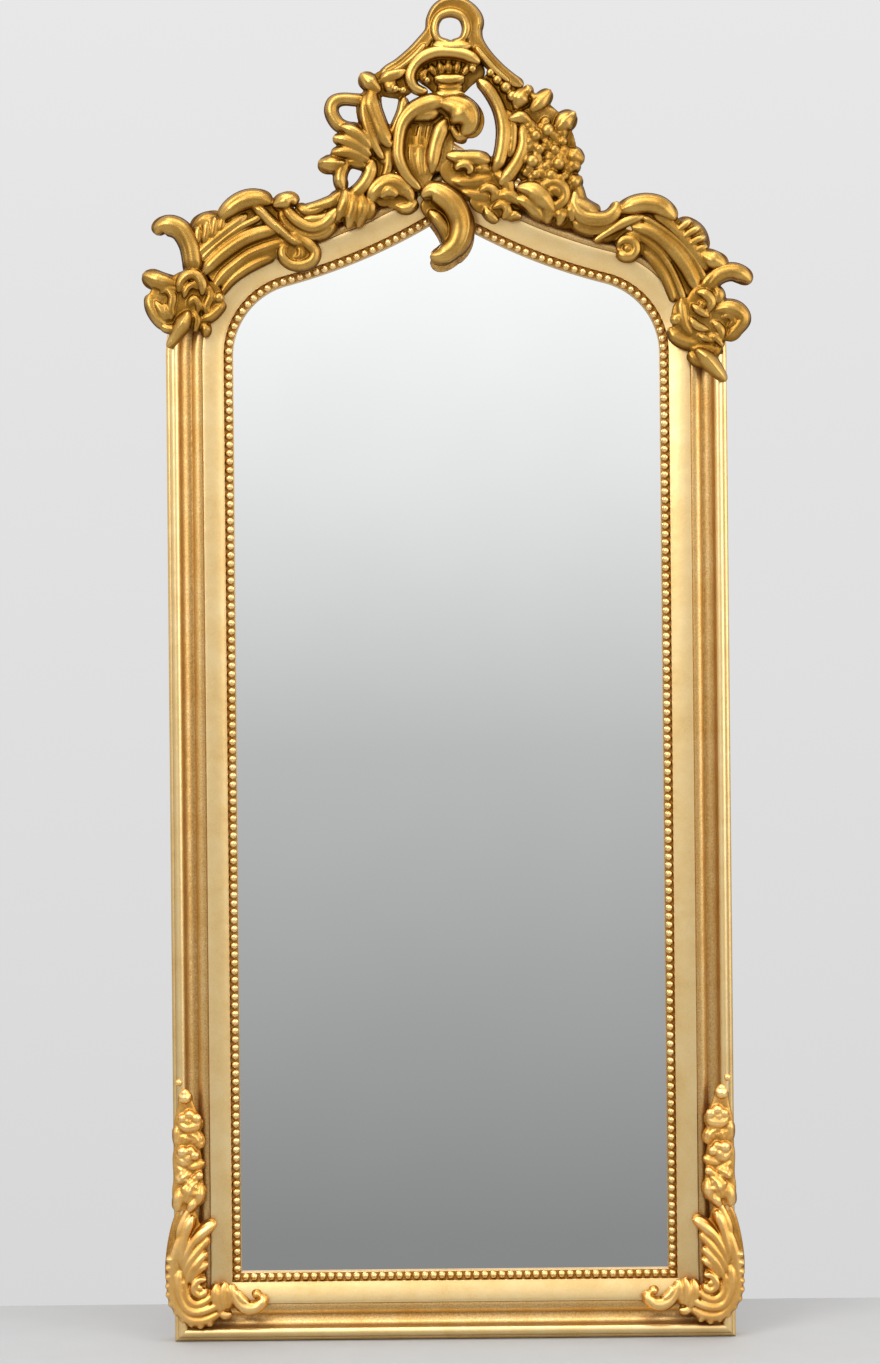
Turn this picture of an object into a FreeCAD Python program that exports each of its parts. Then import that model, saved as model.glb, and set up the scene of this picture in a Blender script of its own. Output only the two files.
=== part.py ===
import FreeCAD, Part
import math
import os

# Baroque mirror: a gilt moulded frame with an arched head, carved crest and corner ornaments.
# Millimetres. +X right seen from the front, +Y towards the wall, +Z up.
# Everything is laid out from the bottom edge (z = 0) and the back face of the frame (y = 0),
# then moved so that the origin lies on the wall, at the centre of the wall pad.

V = FreeCAD.Vector

# Sight opening: the glass that shows
sight_width = 576.0
spring_height = 1326.0
shoulder_radius = 97.5
shoulder_slope = 14.5
apex_slope = 31.5

# Moulding section, from the sight edge outwards
ledge_width = 11.5
band_width = 28.5
ogee_width = 14.5
cove_width = 16.5
roll_radius = 6.5
edge_radius = 5.0

# Moulding section, heights from one level to the next towards the front
lip_thickness = 8.0
band_rise = 6.0
band_tilt = 6.5
band_crown = 1.2
ogee_drop = 2.5
ogee_tilt = 3.0
ogee_crown = 2.2
cove_step = 2.0
cove_height = 13.0

# Glazing
glass_thickness = 4.0
pad_thickness = 3.0
board_thickness = 4.0
rebate_width = 12.0
glass_clearance = 2.0
board_clearance = 3.0
pad_length = 24.0
pad_margin = 1.0
pads_per_side = 4
pads_below = 3
block_length = 40.0
block_spacing = 300.0

# Pearl beads on the sight edge
bead_radius = 5.2
bead_pitch = 11.5
bead_sink_angle = 15.0
bead_gap = 0.3

# Wall pad
wall_gap = 8.0
wall_pad_length = 420.0
wall_pad_height = 24.0
wall_pad_margin = 6.0

# Wood screws
screw_radius = 1.75
screw_length = 15.0
screw_head_radius = 3.5
screw_head_height = 2.0
screw_clearance = 0.05

# Joint plates and dowels
plate_thickness = 2.0
plate_width = 18.0
plate_length = 100.0
plate_hole_margin = 10.0
plate_hole_pitch = 22.0
corner_leg = 70.0
plate_offset = 50.0
dowel_radius = 4.0
dowel_length = 36.0
dowel_clearance = 0.05
dowel_offsets = (32.0, 64.0)
dowel_depth = 15.0

# Turn buttons
button_thickness = 1.5
button_width = 10.0
button_reach = 26.0
button_tail = 8.0
button_setback = 12.0
button_gap = 0.2
buttons_per_stile = 3
button_end_margin = 190.0
button_top_margin = 250.0

# Hangers
hanger_drop = 100.0
strap_width = 16.0
strap_length = 42.0
strap_thickness = 1.6
strap_hole_offsets = (11.0, 33.0)
knuckle_radius = 3.5
ring_wire_radius = 1.75
ring_bore_clearance = 0.05
ring_inner_width = 20.0
ring_corner_radius = 3.5
ring_leg = 8.0
ring_rest_gap = 0.35

# Crest support block behind the shell, placed from the apex of the sight
support_left = -48.0
support_right = -6.0
support_top = 140.0
support_depth = 30.0
shell_plate = 10.0
crest_screw_x = -30.0
crest_screw_heights = (108.0, 134.0)
crest_screw_length = 36.0

dowel_end_gap = 0.5
least_piece = 300.0
margin = 40.0
full_turn = 360.0

half_sight = sight_width / 2
roll_width = 2 * roll_radius
moulding_width = ledge_width + band_width + ogee_width + cove_width + roll_width + edge_radius
half_width = half_sight + moulding_width
rebate_depth = board_thickness + pad_thickness + glass_thickness
ledge_depth = rebate_depth + lip_thickness
band_low = ledge_depth + band_rise
band_high = band_low + band_tilt
ogee_high = band_high - ogee_drop
ogee_low = ogee_high - ogee_tilt
cove_low = ogee_low - cove_step
roll_base = cove_low + cove_height
frame_depth = roll_base + roll_radius
bead_offset = ledge_width / 2
wall_pad_z = wall_pad_margin + wall_pad_height / 2

# Arch geometry: a shoulder arc of the sight edge, then a reversed arc up to the middle
shoulder_turn = 90.0 - shoulder_slope
turn_rad = math.radians(shoulder_turn)
low_slope = math.radians(shoulder_slope)
high_slope = math.radians(apex_slope)
shoulder_centre = V(-half_sight + shoulder_radius, 0, spring_height)
joint_x = shoulder_centre.x - shoulder_radius * math.cos(turn_rad)
joint_z = spring_height + shoulder_radius * math.sin(turn_rad)
arch_radius = -joint_x / (math.sin(high_slope) - math.sin(low_slope))
arch_centre = V(joint_x - arch_radius * math.sin(low_slope), 0, joint_z + arch_radius * math.cos(low_slope))


def arch_slope_at_middle(offset):
    return math.asin(-arch_centre.x / (arch_radius - offset))


def shoulder_point(offset, angle):
    reach = shoulder_radius + offset
    return V(shoulder_centre.x - reach * math.cos(angle), 0, shoulder_centre.z + reach * math.sin(angle))


def arch_point(offset, slope):
    reach = arch_radius - offset
    return V(arch_centre.x + reach * math.sin(slope), 0, arch_centre.z - reach * math.cos(slope))


apex_z = arch_point(0, high_slope).z


def mirrored(shape):
    return shape.mirror(V(0, 0, 0), V(1, 0, 0))


def mirror_place(point):
    return V(-point.x, point.y, point.z)


def fused(shapes):
    if len(shapes) == 1:
        return shapes[0]
    return shapes[0].multiFuse(shapes[1:])


def group(shapes):
    return Part.makeCompound(shapes)


def arc(start, middle, end):
    return Part.Arc(start, middle, end).toShape()


def line(start, end):
    return Part.makeLine(start, end)


def prism(points, y_start, y_end):
    corners = [V(x, y_start, z) for x, z in points]
    face = Part.Face(Part.makePolygon(corners + [corners[0]]))
    return face.extrude(V(0, y_end - y_start, 0))


def section_point(across, depth):
    return V(-half_sight - across, -depth, 0)


# Section of the left stile at z = 0: rebate, back, outer edge, roll, cove, ogee, band, pearl ledge
def moulding_section():
    p = section_point
    band_start = ledge_width
    ogee_start = band_start + band_width
    cove_start = ogee_start + ogee_width
    roll_start = cove_start + cove_width
    edge_start = roll_start + roll_width
    quarter = math.sqrt(0.5)
    edge_low = roll_base - edge_radius
    edges = [
        line(p(rebate_width, 0), p(moulding_width, 0)),
        line(p(moulding_width, 0), p(moulding_width, edge_low)),
        arc(p(moulding_width, edge_low),
            p(edge_start + edge_radius * quarter, edge_low + edge_radius * quarter),
            p(edge_start, roll_base)),
        arc(p(edge_start, roll_base), p(roll_start + roll_radius, frame_depth), p(roll_start, roll_base)),
        arc(p(roll_start, roll_base),
            p(cove_start + cove_width * quarter, roll_base - cove_height * quarter),
            p(cove_start, cove_low)),
        line(p(cove_start, cove_low), p(cove_start, ogee_low)),
        arc(p(cove_start, ogee_low),
            p(cove_start - ogee_width / 2, (ogee_low + ogee_high) / 2 + ogee_crown),
            p(ogee_start, ogee_high)),
        line(p(ogee_start, ogee_high), p(ogee_start, band_high)),
        arc(p(ogee_start, band_high),
            p(ogee_start - band_width / 2, (band_low + band_high) / 2 + band_crown),
            p(band_start, band_low)),
        line(p(band_start, band_low), p(band_start, ledge_depth)),
        line(p(band_start, ledge_depth), p(0, ledge_depth)),
        line(p(0, ledge_depth), p(0, rebate_depth)),
        line(p(0, rebate_depth), p(rebate_width, rebate_depth)),
        line(p(rebate_width, rebate_depth), p(rebate_width, 0)),
    ]
    return Part.Face(Part.Wire(edges))


# Frame pieces: mitred below, butted at the springing, at the shoulders and at the middle of the arch
def make_stile():
    stile = moulding_section().extrude(V(0, 0, spring_height))
    low = -half_width - margin
    high = -half_sight + margin
    top = moulding_width + margin
    mitre = prism([(low, -margin), (high, top), (high, -margin)], margin, -frame_depth - margin)
    return stile.cut(mitre)


def make_bottom_rail():
    section = moulding_section()
    section.rotate(V(-half_sight, 0, 0), V(0, 1, 0), -90)
    section.translate(V(half_sight, 0, moulding_width))
    section.translate(V(-half_width - margin, 0, 0))
    rail = section.extrude(V(2 * (half_width + margin), 0, 0))
    low = -half_width - margin
    high = -half_sight + margin
    top = moulding_width + margin
    mitre = prism([(low - margin, -margin), (low, -margin), (high, top), (low - margin, top)],
                  margin, -frame_depth - margin)
    return rail.cut([mitre, mirrored(mitre)])


def make_shoulder():
    section = moulding_section()
    section.translate(V(0, 0, spring_height))
    return section.revolve(shoulder_centre, V(0, 1, 0), shoulder_turn)


def make_arch_half():
    section = moulding_section()
    section.translate(V(0, 0, spring_height))
    section.rotate(shoulder_centre, V(0, 1, 0), shoulder_turn)
    sweep = arch_slope_at_middle(moulding_width) - low_slope
    half = section.revolve(arch_centre, V(0, 1, 0), -math.degrees(sweep) - 1)
    beyond = Part.makeBox(half_sight, frame_depth + 2 * margin, apex_z,
                          V(0, -frame_depth - margin, spring_height))
    return half.cut(beyond)


# Closed outline of the sight opening, grown by an offset
def opening_outline(offset):
    low = moulding_width - offset
    side = half_sight + offset
    middle_slope = arch_slope_at_middle(offset)
    springing = shoulder_point(offset, 0)
    joint = shoulder_point(offset, turn_rad)
    apex = arch_point(offset, middle_slope)
    left = [
        line(V(-side, 0, low), springing),
        arc(springing, shoulder_point(offset, turn_rad / 2), joint),
        arc(joint, arch_point(offset, (low_slope + middle_slope) / 2), apex),
    ]
    right = [mirrored(edge) for edge in left]
    sill = line(V(side, 0, low), V(-side, 0, low))
    return Part.Wire(Part.__sortEdges__(left + right + [sill]))


def sheet(offset, depth_start, thickness):
    plate = Part.Face(opening_outline(offset)).extrude(V(0, -thickness, 0))
    plate.translate(V(0, -depth_start, 0))
    return plate


# Pearl beads: domes with a flat seat on the ledge
def bead(x, z):
    sink = bead_radius * math.sin(math.radians(bead_sink_angle))
    centre = V(x, -ledge_depth - sink, z)
    return Part.makeSphere(bead_radius, centre, V(0, -1, 0), -bead_sink_angle, 90, full_turn)


def bottom_bead_row():
    reach = half_sight + bead_offset
    count = round(2 * reach / bead_pitch)
    step = 2 * reach / count
    return group([bead(-reach + k * step, moulding_width - bead_offset) for k in range(count + 1)])


def stile_bead_row():
    start = moulding_width - bead_offset + bead_pitch / 2
    count = round((spring_height - start) / bead_pitch)
    step = (spring_height - start) / count
    return group([bead(-half_sight - bead_offset, start + (k + 0.5) * step) for k in range(count)])


def head_bead_row():
    shoulder_length = (shoulder_radius + bead_offset) * turn_rad
    arch_reach = arch_radius - bead_offset
    apex_angle = arch_slope_at_middle(bead_offset)
    last_travel = shoulder_length + arch_reach * (apex_angle - low_slope)
    last_travel -= (bead_radius + bead_gap) / math.cos(apex_angle)
    count = round(last_travel / bead_pitch + 0.5)
    step = last_travel / (count - 0.5)
    beads = []
    for k in range(count):
        travel = (k + 0.5) * step
        if travel < shoulder_length:
            place = shoulder_point(bead_offset, travel / (shoulder_radius + bead_offset))
        else:
            place = arch_point(bead_offset, low_slope + (travel - shoulder_length) / arch_reach)
        beads.append(bead(place.x, place.z))
    return group(beads)


# Ornament: rounded arms and bosses, laid out in the plane of the frame round an anchor.
# An arm is a list of (x, z, half width); rise is the height of its middle over the front of the frame.
tip_reach = (0.92, 0.6)
tip_width = (0.3, 0.78)
arm_flatness = 0.85
loft_degree = 3


def arm(anchor, stations, rise, flatness=arm_flatness):
    first, second = stations[0], stations[1]
    last, before = stations[-1], stations[-2]
    path = [tip(first, second, k) for k in range(2)] + list(stations)
    path += [tip(last, before, k) for k in (1, 0)]
    rings = []
    for i, (x, z, width) in enumerate(path):
        back = path[max(i - 1, 0)]
        ahead = path[min(i + 1, len(path) - 1)]
        along = V(ahead[0] - back[0], 0, ahead[1] - back[1]).normalize()
        across = V(-along.z, 0, along.x)
        centre = V(anchor.x + x, -frame_depth - rise, anchor.z + z)
        ellipse = Part.Ellipse(centre + across * width, centre + V(0, -width * flatness, 0), centre)
        rings.append(Part.Wire(ellipse.toShape()))
    return Part.makeLoft(rings, True, False, False, loft_degree)


def tip(end, inner, k):
    outward = V(end[0] - inner[0], 0, end[1] - inner[1]).normalize() * (end[2] * tip_reach[k])
    return (end[0] + outward.x, end[1] + outward.z, end[2] * tip_width[k])


def boss(anchor, x, z, radius, rise):
    return Part.makeSphere(radius, V(anchor.x + x, -frame_depth - rise, anchor.z + z))


def plate(anchor, outline, depth_start, thickness):
    points = [(anchor.x + x, anchor.z + z) for x, z in outline]
    return prism(points, -depth_start, -depth_start - thickness)


# An ornament is carved to fit what it sits on; crumbs left by the carving fall away
def without_crumbs(shape):
    return group([solid for solid in shape.Solids if solid.Volume > least_piece])


def carved(shapes, seats):
    blank = fused(shapes)
    near = [seat for seat in seats if seat.BoundBox.intersect(blank.BoundBox)]
    return without_crumbs(blank.cut(near))


# Crest: a wave shell in the middle, with a fan and a looped finial above it
def make_crest_shell():
    wave = [(-35, 35, 6), (-53, 53, 7), (-63, 78, 8), (-62, 106, 9), (-50, 128, 10), (-29, 142, 11),
            (-4, 146, 12), (17, 143, 12), (32, 129, 12), (33, 111, 11), (19, 102, 8)]
    inner_roll = [(-51, 117, 5), (-37, 129, 7), (-20, 135, 8), (-7, 133, 6)]
    finger = [(-2, 113, 10), (-10, 97, 9), (-14, 77, 8), (-17, 50, 7)]
    body = [(-62, 108), (-47, 128), (-16, 140), (7, 128), (1, 108), (-7, 46), (-28, 30), (-48, 46), (-64, 72)]
    return [arm(crest, wave, 4), arm(crest, inner_roll, 7), arm(crest, finger, 2),
            plate(crest, body, support_depth, shell_plate)]


def make_pendant_leaf():
    outer = [(-30, 31, 7), (-15, 31, 11), (6, 21, 13), (22, 0, 14), (26, -22, 13), (16, -44, 12),
             (-2, -58, 10),
             (-19, -60, 8)]
    inner = [(-19, 4, 5), (-5, -2, 8), (4, -18, 8), (5, -37, 5)]
    return [arm(crest, outer, 2), arm(crest, inner, -3)]


def make_fan():
    scroll = [(-22, 171, 4), (-33, 168, 5), (-41, 178, 5), (-42, 193, 6), (-31, 209, 6), (-10, 218, 6),
              (13, 219, 6), (34, 213, 6), (50, 201, 6)]
    vase = [(11, 184, 21), (11, 172, 17), (11, 160, 15), (11, 149, 15)]
    ground = [(-57, 152), (-50, 182), (-36, 206), (-8, 220), (36, 216), (54, 196), (34, 180), (29, 150)]
    pieces = [arm(crest, scroll, 2), arm(crest, vase, -4, 0.6), plate(crest, ground, support_depth, shell_plate)]
    rib_foot = V(11, 0, 172)
    rib_length = 44
    rib_count = 6
    rib_spread = 118.0
    for k in range(rib_count):
        angle = math.radians(-rib_spread / 2 + rib_spread * k / (rib_count - 1))
        steps = [(0.35, 5), (0.7, 6), (1.0, 5)]
        rib = [(rib_foot.x + rib_length * s * math.sin(angle), rib_foot.z + rib_length * s * math.cos(angle), w)
               for s, w in steps]
        pieces.append(arm(crest, rib, -2))
    return pieces


def make_finial_loop():
    loop = [(-58, 182, 7), (-40, 202, 8), (-25, 223, 8), (-17, 246, 6), (-12, 265, 7), (1, 276, 9),
            (16, 277, 11),
            (32, 270, 11), (41, 256, 11), (43, 239, 11), (48, 222, 9), (63, 203, 8), (82, 184, 8), (101, 171, 7)]
    sill = [(-16, 224, 6), (13, 226, 6), (41, 224, 6)]
    return [arm(crest, loop, -6), arm(crest, sill, -6)]


def make_right_scroll():
    band = [(58, 190, 8), (72, 167, 12), (83, 142, 14), (88, 116, 14), (85, 90, 14), (72, 64, 11)]
    sill = [(4, 75, 8), (22, 69, 10), (42, 64, 11), (62, 66, 9)]
    ruffle = [(19, 31, 6), (39, 28, 7), (60, 20, 6)]
    return [arm(crest, band, -3, 0.6), arm(crest, sill, 3), arm(crest, ruffle, -8)]


def make_flower_spray():
    heart = [(122, 22, 24), (132, 70, 34), (122, 120, 24)]
    leaves = [
        [(100, 138, 9), (107, 158, 11), (114, 173, 7)],
        [(122, 128, 9), (137, 149, 9), (147, 164, 6)],
        [(148, 96, 10), (168, 119, 10), (179, 135, 9)],
        [(155, 76, 9), (176, 72, 9), (190, 69, 6)],
        [(150, 28, 8), (170, 38, 7), (185, 47, 5)],
        [(124, 10, 10), (150, 12, 12), (174, 9, 9), (193, -6, 8)],
    ]
    berries = [(110, 112, 11), (128, 104, 12), (114, 90, 12), (140, 84, 13), (122, 68, 13), (144, 58, 12),
               (126, 42, 13), (106, 50, 12), (108, 24, 13)]
    pieces = [arm(crest, heart, -5, 0.35)] + [arm(crest, leaf, -1) for leaf in leaves]
    return pieces + [boss(crest, x, z, r, 0) for x, z, r in berries]


def make_leaf_spray():
    arms = [
        [(-57, 168, 8), (-70, 178, 11), (-83, 181, 10)],
        [(-88, 158, 9), (-99, 172, 10), (-108, 185, 8)],
        [(-102, 146, 7), (-119, 150, 6), (-140, 151, 7), (-150, 141, 8), (-148, 122, 7), (-132, 109, 8),
         (-114, 114, 7), (-103, 124, 7)],
        [(-78, 172, 9), (-95, 162, 9), (-97, 140, 7), (-90, 119, 7), (-78, 100, 7), (-63, 93, 6)],
        [(-94, 83, 9), (-112, 98, 9), (-130, 109, 8)],
        [(-107, 68, 9), (-128, 81, 11), (-146, 86, 9)],
        [(-130, 63, 9), (-148, 68, 11), (-168, 69, 9)],
        [(-143, 63, 8), (-140, 47, 7), (-132, 32, 7)],
        [(-89, 65, 9), (-102, 50, 8), (-115, 34, 7), (-128, 21, 8)],
        [(-115, 16, 13), (-131, 11, 13), (-149, 16, 10), (-167, 19, 8), (-190, 15, 8)],
    ]
    heart = [(-84, 100, 14), (-90, 76, 24), (-92, 52, 20)]
    upper_heart = [(-60, 172, 9), (-80, 168, 13), (-100, 158, 12), (-104, 140, 9)]
    pieces = [arm(crest, stations, -1) for stations in arms]
    return pieces + [arm(crest, heart, -5, 0.4), arm(crest, upper_heart, -4, 0.6)]


def make_base_scroll():
    scroll = [(-97, 19, 8), (-84, 35, 12), (-64, 42, 13), (-46, 31, 11), (-38, 16, 7), (-47, 8, 5)]
    return [arm(crest, scroll, 1)]


# Shoulders: two ribs along the cove end in a volute, under a crowning leaf; a spray covers the corner
def make_left_shoulder_scroll(corner):
    outer_rib = [(44, 118, 5), (68, 141, 5), (93, 160, 5), (118, 175, 5), (134, 181, 5)]
    inner_rib = [(74, 85, 5), (82, 105, 5), (98, 123, 5), (118, 138, 5), (138, 146, 5), (163, 149, 5)]
    diagonal = [(130, 195, 5), (144, 177, 6), (161, 160, 7), (181, 150, 7)]
    volute = [(181, 150, 7), (197, 148, 6), (204, 137, 6), (195, 122, 6), (175, 116, 6), (157, 124, 5),
              (155, 137, 5), (165, 143, 4)]
    return [arm(corner, outer_rib, 0), arm(corner, inner_rib, -12), arm(corner, diagonal, 1),
            arm(corner, volute, -6), boss(corner, 170, 134, 9, -8)]


def make_left_shoulder_leaf(corner):
    arms = [
        [(93, 184, 8), (106, 199, 10), (124, 208, 9), (139, 207, 8), (151, 200, 7)],
        [(153, 200, 7), (168, 206, 7), (177, 200, 6)],
        [(169, 203, 6), (178, 187, 6), (196, 173, 6), (212, 175, 6), (225, 184, 6)],
        [(155, 200, 6), (162, 180, 5), (180, 163, 6), (201, 158, 6), (221, 166, 5)],
        [(41, 149, 7), (53, 165, 11), (68, 175, 10), (81, 177, 7)],
        [(52, 138, 9), (68, 158, 11), (92, 178, 11), (118, 190, 12), (142, 193, 10)],
    ]
    return [arm(corner, stations, -1) for stations in arms]


def make_left_corner_spray(corner):
    upper_horn = [(34, 96, 9), (34, 123, 8), (36, 141, 8), (30, 158, 9), (16, 170, 9), (0, 171, 10),
                  (-7, 165, 7)]
    lower_horn = [(12, 90, 8), (-3, 97, 8), (-19, 102, 8), (-32, 106, 7)]
    point = [(36, 58, 10), (30, 42, 10), (19, 26, 6), (9, 10, 3)]
    lumps = [(35, 86, 18), (7, 76, 16), (-12, 71, 11), (14, 52, 14), (50, 60, 12), (73, 73, 10)]
    pieces = [arm(corner, upper_horn, 0), arm(corner, lower_horn, 1), arm(corner, point, -3)]
    return pieces + [boss(corner, x, z, r, -3) for x, z, r in lumps]


def make_right_shoulder_scroll(corner):
    outer_rib = [(-114, 178, 5), (-91, 164, 5), (-69, 145, 5), (-52, 123, 5), (-40, 102, 5), (-33, 87, 5)]
    inner_rib = [(-127, 153, 5), (-107, 146, 5), (-88, 127, 5), (-75, 104, 5), (-67, 81, 5), (-64, 62, 5)]
    diagonal = [(-115, 194, 6), (-133, 180, 6), (-152, 165, 7), (-171, 152, 6)]
    volute = [(-124, 125, 5), (-137, 125, 5), (-145, 135, 5), (-142, 148, 5), (-131, 151, 5), (-124, 142, 5)]
    return [arm(corner, outer_rib, 0), arm(corner, inner_rib, -12), arm(corner, diagonal, 0),
            arm(corner, volute, -8), boss(corner, -134, 137, 8, -9)]


def make_right_shoulder_leaf(corner):
    arms = [
        [(-146, 193, 6), (-130, 194, 8), (-112, 196, 9), (-93, 195, 9), (-78, 185, 8), (-67, 174, 7)],
        [(-146, 197, 6), (-153, 182, 7), (-169, 171, 7), (-187, 173, 7), (-202, 184, 7), (-206, 203, 6)],
        [(-68, 170, 8), (-52, 163, 10), (-41, 153, 11), (-34, 136, 9)],
        [(-37, 125, 9), (-18, 117, 9), (-5, 109, 8)],
        [(-120, 184, 8), (-95, 177, 9), (-72, 162, 10), (-50, 139, 10), (-36, 116, 9), (-26, 98, 9)],
    ]
    return [arm(corner, stations, -1) for stations in arms]


def make_right_corner_spray(corner):
    upper_horn = [(-36, 76, 9), (-18, 98, 9), (2, 105, 9), (21, 100, 9), (33, 89, 7)]
    lower_horn = [(-20, 14, 9), (-6, 26, 11), (6, 38, 11), (13, 46, 10)]
    point = [(-42, -3, 10), (-29, -13, 9), (-16, -25, 7), (-6, -38, 3)]
    lumps = [(-40, 56, 15), (-26, 36, 15), (-48, 30, 14), (-34, 10, 14), (-67, 38, 11), (-62, 14, 10)]
    pieces = [arm(corner, upper_horn, 0), arm(corner, lower_horn, 1), arm(corner, point, -3)]
    return pieces + [boss(corner, x, z, r, -3) for x, z, r in lumps]


# Lower corners: an acanthus corner piece with a scroll along the rail, and a drop of flowers above it
def make_foot_acanthus(foot):
    rim = [(13, 184, 10), (2, 146, 13), (-2, 108, 14), (0, 77, 14), (16, 51, 13), (40, 44, 11), (64, 50, 8)]
    inner_leaf = [(12, 146, 9), (36, 152, 12), (55, 159, 5)]
    middle = [(22, 122, 11), (24, 96, 12), (42, 74, 13), (64, 66, 10)]
    scroll = [(62, 58, 9), (83, 58, 8), (97, 50, 8), (113, 52, 8), (121, 62, 7), (111, 67, 5)]
    scallops = [(8, 40, 11), (30, 31, 11), (54, 35, 10)]
    pieces = [arm(foot, rim, 2), arm(foot, inner_leaf, 0), arm(foot, middle, -2), arm(foot, scroll, -1)]
    return pieces + [boss(foot, x, z, r, -4) for x, z, r in scallops]


def make_side_drop(foot):
    flowers = [(18, 332, 11), (24, 302, 16), (16, 254, 15)]
    stem = [(12, 350, 6), (21, 318, 7), (22, 278, 9), (19, 240, 11), (23, 216, 14), (18, 196, 12)]
    return [boss(foot, x, z, r, 0) for x, z, r in flowers] + [arm(foot, stem, 2)]


# Wood screw with a domed head seated at y = seat; its shank runs into the wood
def screw(x, z, seat, length):
    tip_length = 2 * screw_radius
    head = arc(V(0, screw_head_height, 0),
               V(screw_head_radius * math.sin(math.radians(45)), screw_head_height * math.sin(math.radians(45)), 0),
               V(screw_head_radius, 0, 0))
    rest = Part.makePolygon([V(screw_head_radius, 0, 0), V(screw_radius, 0, 0),
                             V(screw_radius, tip_length - length, 0), V(0, -length, 0), V(0, screw_head_height, 0)])
    outline = Part.Wire([head] + rest.Edges)
    solid = Part.Face(outline).revolve(V(0, 0, 0), V(0, 1, 0), full_turn)
    solid.translate(V(x, seat, z))
    return solid


def pilot(x, z, seat, length):
    return Part.makeCylinder(screw_radius + screw_clearance, length + screw_clearance, V(x, seat, z), V(0, -1, 0))


def dowel(centre, direction):
    start = centre - direction * (dowel_length / 2)
    return Part.makeCylinder(dowel_radius, dowel_length, start, direction)


def dowel_hole(centre, direction):
    length = dowel_length + 2 * dowel_end_gap
    return Part.makeCylinder(dowel_radius + dowel_clearance, length, centre - direction * (length / 2), direction)


# Places of the dowels on the left and at the middle, as centre and direction
def dowel_places():
    places = []
    for offset in dowel_offsets:
        level = V(0, -dowel_depth, 0)
        mitre = V(-half_sight - offset, 0, moulding_width - offset)
        places.append((mitre + level, V(1, 0, -1).normalize()))
        places.append((shoulder_point(offset, 0) + level, V(0, 0, 1)))
        places.append((shoulder_point(offset, turn_rad) + level, V(math.cos(low_slope), 0, math.sin(low_slope))))
    return places


def middle_dowel_places():
    level = V(0, -dowel_depth, 0)
    return [(arch_point(offset, arch_slope_at_middle(offset)) + level, V(1, 0, 0)) for offset in dowel_offsets]


def flipped(place):
    centre, direction = place
    return (mirror_place(centre), mirror_place(direction))


# Straight joint plate at a place on the back, turned by an angle from level
def plate_hole_reach():
    far = plate_length / 2 - plate_hole_margin
    return [-far, plate_hole_pitch - far, far - plate_hole_pitch, far]


def plate_holes(centre, angle):
    turn = math.radians(angle)
    return [(centre.x + s * math.cos(turn), centre.z + s * math.sin(turn)) for s in plate_hole_reach()]


def joint_plate(centre, angle):
    bar = Part.makeBox(plate_length, plate_thickness, plate_width, V(-plate_length / 2, 0, -plate_width / 2))
    bar.rotate(V(0, 0, 0), V(0, 1, 0), -angle)
    bar.translate(V(centre.x, 0, centre.z))
    return bar.cut([pilot(x, z, plate_thickness, screw_length) for x, z in plate_holes(centre, angle)])


def corner_plate_corner():
    return V(-half_sight - plate_offset, 0, moulding_width - plate_offset)


def corner_plate_holes():
    corner = corner_plate_corner()
    reach = [corner_leg - plate_hole_margin, corner_leg - plate_hole_margin - plate_hole_pitch]
    return [(corner.x, corner.z + s) for s in reach] + [(corner.x + s, corner.z) for s in reach]


def corner_plate():
    corner = corner_plate_corner()
    half = plate_width / 2
    low_x, low_z = corner.x - half, corner.z - half
    outline = [(low_x, low_z), (corner.x + corner_leg, low_z), (corner.x + corner_leg, corner.z + half),
               (corner.x + half, corner.z + half), (corner.x + half, corner.z + corner_leg),
               (low_x, corner.z + corner_leg)]
    holes = [pilot(x, z, plate_thickness, screw_length) for x, z in corner_plate_holes()]
    return prism(outline, 0, plate_thickness).cut(holes)


# Turn button: a rounded strip with its screw near one end, pointing along an angle from +X
def turn_button(x, z, angle):
    half = button_width / 2
    y = button_gap
    head, tail = button_reach - half, -button_tail + half
    outline = Part.Wire([
        line(V(tail, y, -half), V(head, y, -half)),
        arc(V(head, y, -half), V(button_reach, y, 0), V(head, y, half)),
        line(V(head, y, half), V(tail, y, half)),
        arc(V(tail, y, half), V(-button_tail, y, 0), V(tail, y, -half)),
    ])
    strip = Part.Face(outline).extrude(V(0, button_thickness, 0))
    strip = strip.cut(pilot(0, 0, button_gap + button_thickness + margin, 2 * margin))
    strip.rotate(V(0, 0, 0), V(0, 1, 0), -angle)
    strip.translate(V(x, 0, z))
    return strip


def button_places():
    offset = rebate_width + button_setback
    low = moulding_width + button_end_margin
    high = spring_height - button_top_margin
    heights = [low + (high - low) * k / (buttons_per_stile - 1) for k in range(buttons_per_stile)]
    middle = (low_slope + arch_slope_at_middle(offset)) / 2
    head = arch_point(offset, middle)
    head_angle = math.degrees(middle) - 90
    places = [("left_%d" % (k + 1), -half_sight - offset, z, 0) for k, z in enumerate(heights)]
    places += [("right_%d" % (k + 1), half_sight + offset, z, 180) for k, z in enumerate(heights)]
    places.append(("bottom", 0, moulding_width - offset, 90))
    places.append(("head_left", head.x, head.z, head_angle))
    places.append(("head_right", -head.x, head.z, 180 - head_angle))
    return places


# Hanger: a screwed strap whose knuckle holds the straight bar of a D-ring
ring_half = ring_inner_width / 2 + ring_wire_radius
ring_reach = ring_leg + ring_half
ring_lean = math.degrees(math.asin((knuckle_radius - ring_wire_radius - ring_rest_gap) / ring_reach))
hanger_place = V(-half_sight - plate_offset, knuckle_radius, spring_height - hanger_drop)


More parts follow.
